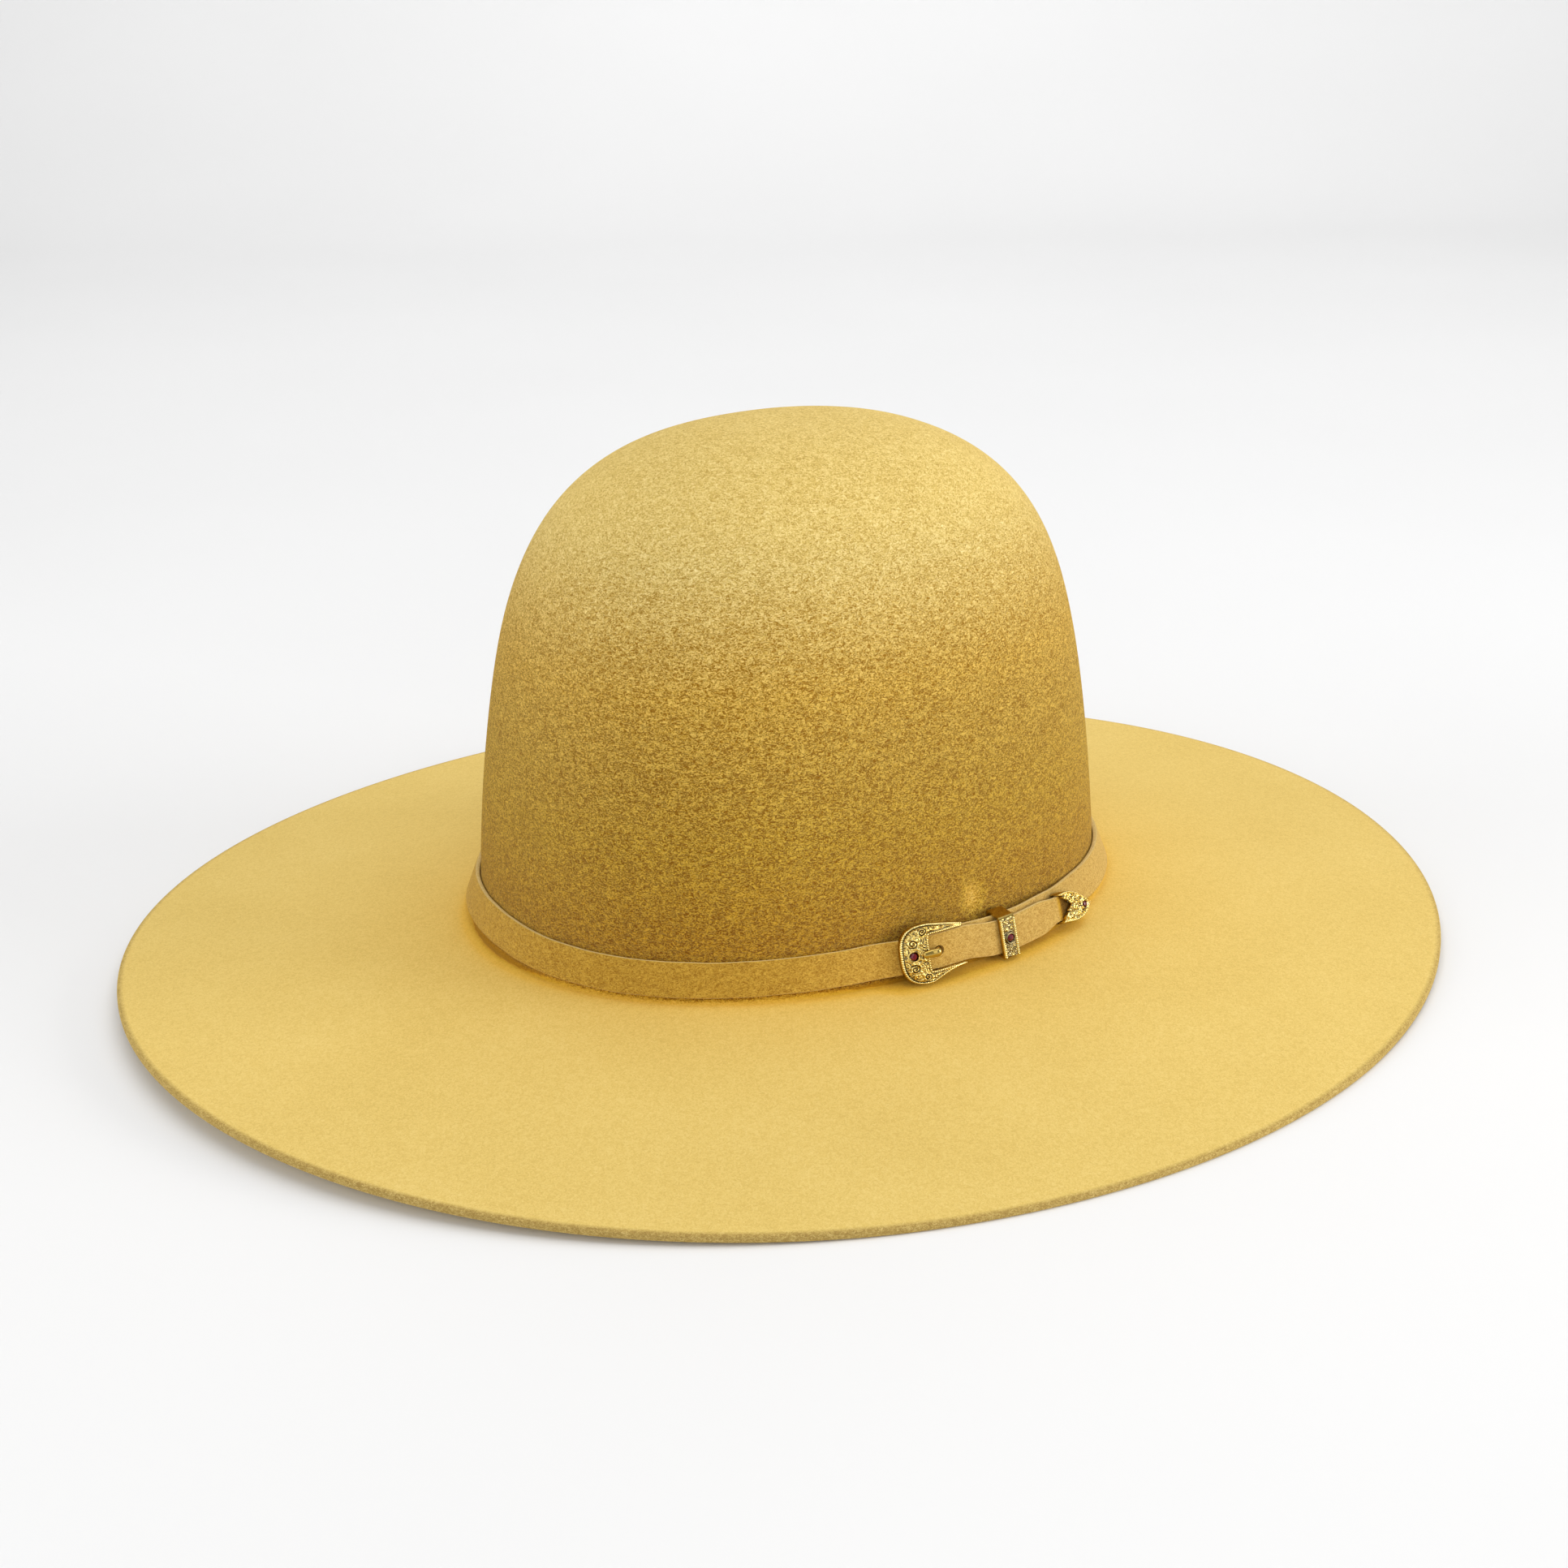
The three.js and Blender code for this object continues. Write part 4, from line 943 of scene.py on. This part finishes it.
def keeper_loop():
    half = KEEPER_WIDTH / 2
    outer = rounded_box_path(
        KEEPER_BOTTOM - KEEPER_WALL, KEEPER_TOP + KEEPER_WALL, CLEARANCE, KEEPER_FACE, KEEPER_CORNER_ROUND
    )
    u = np.linspace(-half, half, KEEPER_ALONG + 1)
    y, x = np.meshgrid(outer[:, 0], u, indexing="ij")
    z = np.repeat(outer[:, 1][:, None], len(u), 1)
    on_face = smoothstep(KEEPER_FACE - 0.15, KEEPER_FACE - 0.02, z)
    from_edge = half - np.abs(x)
    field = smoothstep(FIELD_FROM, 1.0, from_edge)
    bead = beads(y, from_edge, *KEEPER_BEADS)
    pattern = sum(flower(x, y, *spot) for spot in KEEPER_FLOWERS)
    pattern = pattern + sum(scroll(x, y, *spot) for spot in KEEPER_SCROLLS)
    pattern = np.clip(pattern + 0.3 * leafy_ground(x, y, 0.6), *PATTERN_RANGE)
    dome = 0.22 * (1 - (x / half) ** 2)
    rise = (dome + BEAD_RISE * bead + 0.24 * pattern * field) * on_face
    rise = mix(rise, socket(rise, x, y, 0, 0, STONE_RADIUS, 0.35, KEEPER_SEAT), on_face)
    z = z + rise - edge_slope(0.18, from_edge) * on_face
    relief = np.clip((pattern * 0.5 * field + 0.12 + bead * 3) * on_face, -1, 1)
    inner = rounded_box_path(KEEPER_BOTTOM, KEEPER_TOP, KEEPER_BACK, KEEPER_INSIDE, KEEPER_CORNER_ROUND / 2)
    at, inner_at = np.linspace(0, 1, len(outer), endpoint=False), np.linspace(0, 1, len(inner) + 1)
    inner = points_at(at, inner_at, np.vstack([inner, inner[:1]]))
    back = u[::-4]
    wall = [np.repeat(column[:, None], len(back), 1) for column in inner.T]
    lining = np.stack([np.repeat(back[None], len(inner), 0), *wall], -1)
    rings = np.concatenate([np.stack([x, y, z], -1), lining], 1).transpose(1, 0, 2)
    values = np.concatenate([relief, np.zeros(lining.shape[:2])], 1).T
    rings, values = (np.concatenate([rows, rows[:1]]) for rows in (rings, values))
    points, faces = loft(rings, closed_ends=False)
    points[:, 1] -= KEEPER_SLUMP * (points[:, 2] - KEEPER_BACK) / (KEEPER_FACE - KEEPER_BACK)
    points[:, 0] += KEEPER_AT
    seat = KEEPER_AT, -KEEPER_SLUMP, KEEPER_FACE + KEEPER_SEAT
    return [placed((points, faces), relief=values.reshape(-1))], seat


# Strap tip

TIP_INSIDE = BILLET_IN_TIP + BAND_THICKNESS + CLEARANCE
TIP_FACE = TIP_INSIDE + TIP_FACE_THICKNESS
TIP_STATIONS = 110
TIP_ACROSS = 72
TIP_BEADS = (0.66, 0.3, 0.42)
TIP_SEAT = RIM_HEIGHT - 0.45
NOTCH_SCALLOP = 0.55

# Scrolls of the tip's face: place from the mouth, place over the stone's, reach, pitch and turn
TIP_SCROLLS = [
    (3.9, 3.6, 1.1, 0.7, 1),
    (4.3, -1.9, 1.1, 0.7, -1),
    (6.6, 2.5, 0.9, 0.7, -1),
    (7.0, -1.3, 0.9, 0.7, 1),
]


def tip_plate(inset, mouth, notch, back_at, front_at, end, stations, across, relief_height=None):
    """Solid of the tip's outline and the relief's values: the tip itself, or the room in it if inset."""
    share = np.linspace(0, 1, stations + 1)[:, None]
    side = np.linspace(-1, 1, across + 1)
    along = mix(mouth, end, share)
    half = np.maximum(tip_half((along - TIP_MOUTH_AT) / TIP_LENGTH) - inset, TIP_WALL / 3)
    lift = through(BILLET_DEPTH_ROWS, along) - BILLET_IN_TIP
    scallop = NOTCH_SCALLOP * np.abs(np.sin(side * 2.5 * math.pi)) * (1 if notch else 0)
    x = along + notch * (1 - share) * (1 - np.abs(side)) - scallop * (1 - share) ** 3
    y = through(BILLET_MIDDLE_ROWS, along) + side * half
    front_z = front_at + lift + RIM_HEIGHT * (1 - side**2)
    values = np.zeros(y.shape)
    if relief_height:
        rise, values = relief_height(x, y, side, half, share)
        front_z = front_z + rise
    back = np.stack([x, y, np.broadcast_to(back_at + lift, y.shape)], -1)[:, ::-1]
    rings = np.concatenate([np.stack([x, y, front_z], -1), back], 1)
    values = np.concatenate([values, np.zeros(y.shape)], 1)
    points, faces = loft(rings, closed_ends=False)
    last = stations * rings.shape[1]
    for j in range(across):
        under, next_under = rings.shape[1] - 1 - j, rings.shape[1] - 2 - j
        faces.append((j, j + 1, next_under, under))
        faces.append((last + under, last + next_under, last + j + 1, last + j))
    return points, faces, values.reshape(-1)


def strap_tip():
    stone_x = TIP_MOUTH_AT + TIP_LENGTH * TIP_STONE_SHARE
    stone_y = float(through(BILLET_MIDDLE_ROWS, stone_x))
    stone_lift = float(through(BILLET_DEPTH_ROWS, stone_x)) - BILLET_IN_TIP

    def relief_height(x, y, side, half, share):
        from_edge = half * (1 - np.abs(side))
        bead = beads(x, from_edge, *TIP_BEADS)
        field = smoothstep(FIELD_FROM, 1.05, from_edge)
        spots = [(TIP_MOUTH_AT + along, stone_y + up, *row) for along, up, *row in TIP_SCROLLS]
        pattern = sum(scroll(x, y, *spot) for spot in spots)
        pattern = np.clip(pattern + 0.7 * leafy_ground(x, y, 0.7), *PATTERN_RANGE) * field
        edge = edge_slope(0.22, from_edge) + 0.2 * (1 - smoothstep(0, 0.3, share * TIP_LENGTH))
        dome = RIM_HEIGHT * (1 - side**2)
        face = BEAD_RISE * bead + 0.26 * pattern - edge + dome
        face = socket(face, x, y, stone_x, stone_y, TIP_STONE_RADIUS, RIM_HEIGHT + 0.25, TIP_SEAT)
        return face - dome, np.clip(pattern * 0.8 + bead * 3, -1, 1)

    low, high, point = TIP_BACK_OUT, TIP_FACE, TIP_POINT_AT
    cap = tip_plate(0, TIP_MOUTH_AT, TIP_NOTCH, low, high, point, TIP_STATIONS, TIP_ACROSS, relief_height)
    low, high, point = low + TIP_BACK_THICKNESS, TIP_INSIDE - RIM_HEIGHT, point - TIP_WALL - CLEARANCE
    room = tip_plate(TIP_WALL, TIP_MOUTH_AT - TIP_NOTCH, 0, low, high, point, 30, 12)
    points, faces = cut_away(cap[:2], room[:2])
    nearest = {tuple(np.round(p, 4)): v for p, v in zip(cap[0], cap[2])}
    values = np.array([nearest.get(tuple(np.round(p, 4)), 0.0) for p in points])
    return [placed((points, faces), relief=values)], (stone_x, stone_y, TIP_FACE + stone_lift + TIP_SEAT)


# Cut stones

# Rings of corners from the top down: share of the radius, height as a share of it, and turn in facets
STONE_ROWS = [
    (0.5, 1.02, 0.5),
    (0.76, 0.9, 0),
    (0.93, 0.74, 0.5),
    (1, 0.6, 0),
    (1, 0.54, 0),
    (0.45, 0.05, 0.5),
]
STONE_FACETS = 12
STONE_OVER_FLOOR = 0.06


def stone(radius, seat):
    x, y, floor = seat
    share, height, turn = np.array(STONE_ROWS).T[..., None]
    angle = (np.arange(STONE_FACETS) + turn) / STONE_FACETS * FULL_TURN
    z = np.broadcast_to(floor + STONE_OVER_FLOOR + height * radius, angle.shape)
    flat = x + share * radius * np.cos(angle), y + share * radius * np.sin(angle)
    return placed(loft(np.stack([*flat, z], -1)))


# Materials


def new_material(name):
    """New material, its node tree and shader, and the object's own coordinates."""
    material = bpy.data.materials.new(name)
    material.use_nodes = True
    tree = material.node_tree
    tree.nodes.clear()
    output = tree.nodes.new("ShaderNodeOutputMaterial")
    shader = tree.nodes.new("ShaderNodeBsdfPrincipled")
    tree.links.new(shader.outputs["BSDF"], output.inputs["Surface"])
    return material, tree, shader, add_node(tree, "ShaderNodeTexCoord").outputs["Object"]


def set_inputs(tree, node, inputs):
    """Gives a node's inputs plain values, or links them to the outputs of other nodes."""
    for name, value in dict(inputs).items():
        if isinstance(value, bpy.types.NodeSocket):
            tree.links.new(value, node.inputs[name])
        else:
            node.inputs[name].default_value = value


def add_node(tree, kind, inputs=(), **settings):
    node = tree.nodes.new(kind)
    for name, value in settings.items():
        setattr(node, name, value)
    set_inputs(tree, node, inputs)
    return node


def noise_field(tree, place, size, detail=2.0, roughness=0.5, distortion=0.0):
    """Noise with features of a size in millimetres."""
    inputs = {"Vector": place, "Scale": 1 / (size * MM), "Detail": detail, "Roughness": roughness}
    return add_node(tree, "ShaderNodeTexNoise", {**inputs, "Distortion": distortion}).outputs["Fac"]


def math_node(tree, operation, a, b=0.0, c=0.0, clamp=False):
    node = add_node(tree, "ShaderNodeMath", {0: a, 1: b, 2: c}, operation=operation, use_clamp=clamp)
    return node.outputs[0]


def scaled(tree, value, factor, plus=0.0, clamp=False):
    """A value times a factor, plus another value."""
    return math_node(tree, "MULTIPLY_ADD", value, factor, plus, clamp)


def bumps(tree, height, distance, strength):
    node = add_node(tree, "ShaderNodeBump", {"Strength": strength, "Distance": distance, "Height": height})
    return node.outputs["Normal"]


def ramp(tree, factor, stops):
    node = add_node(tree, "ShaderNodeValToRGB", {"Fac": factor})
    elements = node.color_ramp.elements
    for _ in stops[len(elements) :]:
        elements.new(0.5)
    for element, (position, colour) in zip(elements, stops):
        element.position = position
        element.color = (*colour, 1)
    return node.outputs["Color"]


def blend_colours(tree, factor, a, b, kind="MIX"):
    node = add_node(tree, "ShaderNodeMix", {0: factor, 6: a, 7: b}, data_type="RGBA", blend_type=kind)
    return node.outputs[2]


def srgb(red, green, blue):
    def linear(value):
        value /= 255
        return value / 12.92 if value <= 0.04045 else ((value + 0.055) / 1.055) ** 2.4

    return linear(red), linear(green), linear(blue)


def attribute(tree, name):
    return add_node(tree, "ShaderNodeAttribute", attribute_name=name).outputs["Fac"]


# Fibres lie along the crown more than up it. Layers of them: size of their gaps, turn and share
NAP_LIE = (0.55, 0.55, 1.0)
NAP_LAYERS = [(0.85, (0.0, 0.0, 0.2), 0.4), (0.6, (0.45, 0.0, 1.1), 0.35), (0.42, (-0.4, 0.35, 2.3), 0.25)]
NAP_SHARPNESS = 9
NAP_MIDDLE = 0.46
NAP_HEIGHT = 0.6 * MM
TUFT_SIZE = 1.8
TUFT_SHARE = 0.15
CLOUD_SIZE = 45
CLOUD_CONTRAST = 0.12
CUT_EDGE_COVER = 0.7

# Painted shade: tint of the felt by its foot value, deepest in the break, under the strap, in the tip's mouth
# and towards the crown's foot, as linear colours
PAINTED_SHADE_TINTS = [
    (0.0, (1, 1, 1)),
    (0.25, (1, 0.82, 0.38)),
    (0.58, (0.86, 0.68, 0.17)),
    (0.85, (0.7, 0.46, 0.07)),
    (1.0, (0.2, 0.12, 0.02)),
]


def strands(tree, place, size, turn):
    """Fine curled lines, like fibres of the nap, with gaps of that size in millimetres."""
    lying = add_node(tree, "ShaderNodeMapping", {"Vector": place, "Rotation": turn, "Scale": NAP_LIE})
    field = noise_field(tree, lying.outputs["Vector"], size, 1.5, 0.5, 1.1)
    away = math_node(tree, "ABSOLUTE", math_node(tree, "SUBTRACT", field, 0.5))
    return scaled(tree, away, -NAP_SHARPNESS, 1.0, clamp=True)


def felt_material(name, contrast, *colours):
    """Felt, from the colours of its nap (dark, middle and light), its sheen and its cut edges, with painted
    shade from its foot attribute.
    """
    dark, middle, light, sheen_tint, cut_colour = (srgb(*colour) for colour in colours)
    material, tree, shader, place = new_material(name)
    foot, nap, cut = (attribute(tree, key) for key in ("foot", "nap", "relief"))
    fibre = 0.0
    for size, turn, share in NAP_LAYERS:
        fibre = scaled(tree, strands(tree, place, size, turn), share, fibre)
    tufts = noise_field(tree, place, TUFT_SIZE, 3.0, 0.6, 0.6)
    speckle = scaled(tree, tufts, TUFT_SHARE, scaled(tree, fibre, 1 - TUFT_SHARE))
    rough = scaled(tree, math_node(tree, "SUBTRACT", speckle, NAP_MIDDLE), nap)
    cloud = math_node(tree, "SUBTRACT", noise_field(tree, place, CLOUD_SIZE, 3.0, 0.55), 0.5)
    spread = scaled(tree, rough, contrast, scaled(tree, cloud, CLOUD_CONTRAST, 0.5))
    colour = ramp(tree, spread, [(0.0, dark), (0.5, middle), (1.0, light)])
    # The painted shade multiplies the nap's colour
    colour = blend_colours(tree, 1.0, colour, ramp(tree, foot, PAINTED_SHADE_TINTS), "MULTIPLY")
    edge = blend_colours(tree, scaled(tree, fibre, CUT_EDGE_COVER), (*cut_colour, 1), colour)
    inputs = {
        "Base Color": blend_colours(tree, cut, colour, edge),
        "Normal": bumps(tree, scaled(tree, speckle, nap), NAP_HEIGHT, 1.0),
        "Roughness": 0.95,
        "Specular IOR Level": 0.05,
        "Sheen Weight": 0.55,
        "Sheen Roughness": 0.45,
        "Sheen Tint": (*sheen_tint, 1),
    }
    set_inputs(tree, shader, inputs)
    return material


# Tones of the metal, from the bottom of the engraving to the tops of its beads and leaves
METAL_TONES = [(0.22, (38, 28, 8)), (0.42, (104, 80, 28)), (0.54, (206, 170, 66)), (0.85, (255, 240, 168))]
METAL_WORN = (255, 244, 190)


def metal_material():
    material, tree, shader, place = new_material("cast gold")
    tones = [(at, srgb(*tone)) for at, tone in METAL_TONES]
    colour = ramp(tree, scaled(tree, attribute(tree, "relief"), 0.5, 0.5), tones)
    wear = scaled(tree, noise_field(tree, place, 1.4, 4.0, 0.6), 0.22)
    fine = noise_field(tree, place, 0.25, 4.0, 0.7)
    inputs = {
        "Base Color": blend_colours(tree, wear, colour, (*srgb(*METAL_WORN), 1)),
        "Roughness": scaled(tree, fine, 0.14, 0.06),
        "Normal": bumps(tree, fine, 0.03 * MM, 0.35),
        "Metallic": 1.0,
    }
    set_inputs(tree, shader, inputs)
    return material


def stone_material():
    material, tree, shader, place = new_material("red stone")
    depth = noise_field(tree, place, 0.9)
    colour = ramp(tree, depth, [(0.3, srgb(60, 0, 10)), (0.7, srgb(130, 4, 22))])
    inputs = {"Base Color": colour, "Roughness": 0.03, "IOR": 1.54, "Transmission Weight": 0.2}
    set_inputs(tree, shader, inputs)
    return material


def floor_material():
    material, tree, shader, place = new_material("studio floor")
    tone = noise_field(tree, place, 400)
    colour = ramp(tree, tone, [(0.3, (0.83, 0.83, 0.83)), (0.7, (0.85, 0.85, 0.85))])
    set_inputs(tree, shader, {"Base Color": colour, "Roughness": 0.9, "Specular IOR Level": 0.1})
    return material


# Cut edges: the mustard felt's darker colour there is partly the raw edge's own colour and partly painted
# shade of its underside; the band's pale colour there is a painted highlight
FELT = felt_material(
    "mustard felt", 2.9, (152, 112, 32), (219, 190, 108), (252, 234, 172), (255, 222, 140), (150, 122, 66)
)
BAND_FELT = felt_material(
    "band felt", 3.5, (130, 90, 34), (191, 164, 102), (226, 204, 148), (255, 224, 150), (250, 228, 160)
)
METAL = metal_material()
STONE = stone_material()

add_piece("felt", [felt_body()], FELT, ["felt_body"], 60)
add_piece("band_strap", hat_band(), BAND_FELT, ["hat_band"], 50)
frame_parts, buckle_seat = buckle_frame()
add_piece("engraved_frame", frame_parts, METAL, ["buckle_frame"], 55)
add_piece("tongue", prong(), METAL, ["buckle_prong"], 50)
add_piece("frame_gem", [stone(STONE_RADIUS, buckle_seat)], STONE, ["buckle_stone"], 2)
keeper_parts, keeper_seat = keeper_loop()
add_piece("engraved_keeper", keeper_parts, METAL, ["keeper_loop"], 55)
add_piece("keeper_gem", [stone(STONE_RADIUS, keeper_seat)], STONE, ["keeper_stone"], 2)
tip_parts, tip_seat = strap_tip()
add_piece("engraved_tip", tip_parts, METAL, ["strap_tip"], 55)
add_piece("tip_gem", [stone(TIP_STONE_RADIUS, tip_seat)], STONE, ["tip_stone"], 2)

# Studio: a pale sweep, a wide lamp overhead, low ones at the right and left of the picture, a weak one in
# front of the buckle, and one for the backdrop

SWEEP_HALF = 2600
SWEEP_FRONT = -2600
SWEEP_BACK = 1500
SWEEP_RADIUS = 700
SWEEP_TOP = 2400
CAMERA_AZIMUTH = math.radians(60.337)


def studio_sweep():
    turn = np.linspace(0, math.pi / 2, 25)
    curve_away, curve_up = SWEEP_BACK + SWEEP_RADIUS * np.sin(turn), SWEEP_RADIUS * (1 - np.cos(turn))
    away = [SWEEP_FRONT, 0, *curve_away, SWEEP_BACK + SWEEP_RADIUS]
    up = [0, 0, *curve_up, SWEEP_TOP]
    points = [(x * MM, y * MM, z * MM) for y, z in zip(away, up) for x in (-SWEEP_HALF, SWEEP_HALF)]
    faces = [(k, k + 1, k + 3, k + 2) for k in range(0, len(points) - 2, 2)]
    mesh = bpy.data.meshes.new("studio_sweep")
    mesh.from_pydata(points, [], faces)
    mesh.shade_smooth()
    mesh.materials.append(floor_material())
    sweep = new_object("studio_sweep", mesh)
    sweep.rotation_euler = (0, 0, CAMERA_AZIMUTH)


studio_sweep()


HAT_MIDDLE = (0, 0, 0.1)


def area_light(name, place, target, size, power):
    light = bpy.data.lights.new(name, "AREA")
    light.shape = "SQUARE"
    light.size = size
    light.energy = power
    lamp = new_object(name, light)
    lamp.location = place
    direction = Vector(target) - Vector(place)
    lamp.rotation_mode = "QUATERNION"
    lamp.rotation_quaternion = direction.to_track_quat("-Z", "Y")


area_light("overhead", (0.1, 0.1, 1.5), HAT_MIDDLE, 1.6, 10.9)
area_light("right", (1.2, 1.3, 0.32), HAT_MIDDLE, 1.0, 27)
area_light("left", (-0.3, -1.5, 0.42), HAT_MIDDLE, 1.2, 10.5)
area_light("fill", (1.4, -0.8, 0.7), HAT_MIDDLE, 1.3, 5.5)
area_light("backdrop", (-1.2, 0.68, 1.7), (-2.2, 1.25, 0.3), 1.6, 10)

world = bpy.data.worlds.new("studio")
bpy.context.scene.world = world
world.use_nodes = True
background = world.node_tree.nodes["Background"]
background.inputs["Color"].default_value = (1, 1, 1, 1)
background.inputs["Strength"].default_value = 0.42

# Camera: the photograph's frame is square, with its view turned to the hat's left and slightly tilted.
CAMERA_PLACE = (0.62146, -0.35582, 0.32177)
CAMERA_RIGHT = (0.50038, 0.86564, -0.01664)
CAMERA_UP = (-0.303, 0.19309, 0.93322)
CAMERA_BACK = (0.81105, -0.46193, 0.35891)
CAMERA_LENS = 54.76

camera_data = bpy.data.cameras.new("camera")
camera_data.lens = CAMERA_LENS
camera_data.sensor_width = 36
camera_data.clip_end = 50
camera = new_object("camera", camera_data)
axes = Matrix((CAMERA_RIGHT, CAMERA_UP, CAMERA_BACK)).transposed()
camera.matrix_world = Matrix.Translation(CAMERA_PLACE) @ axes.to_4x4()
bpy.context.scene.camera = camera
bpy.context.scene.view_settings.view_transform = "Standard"
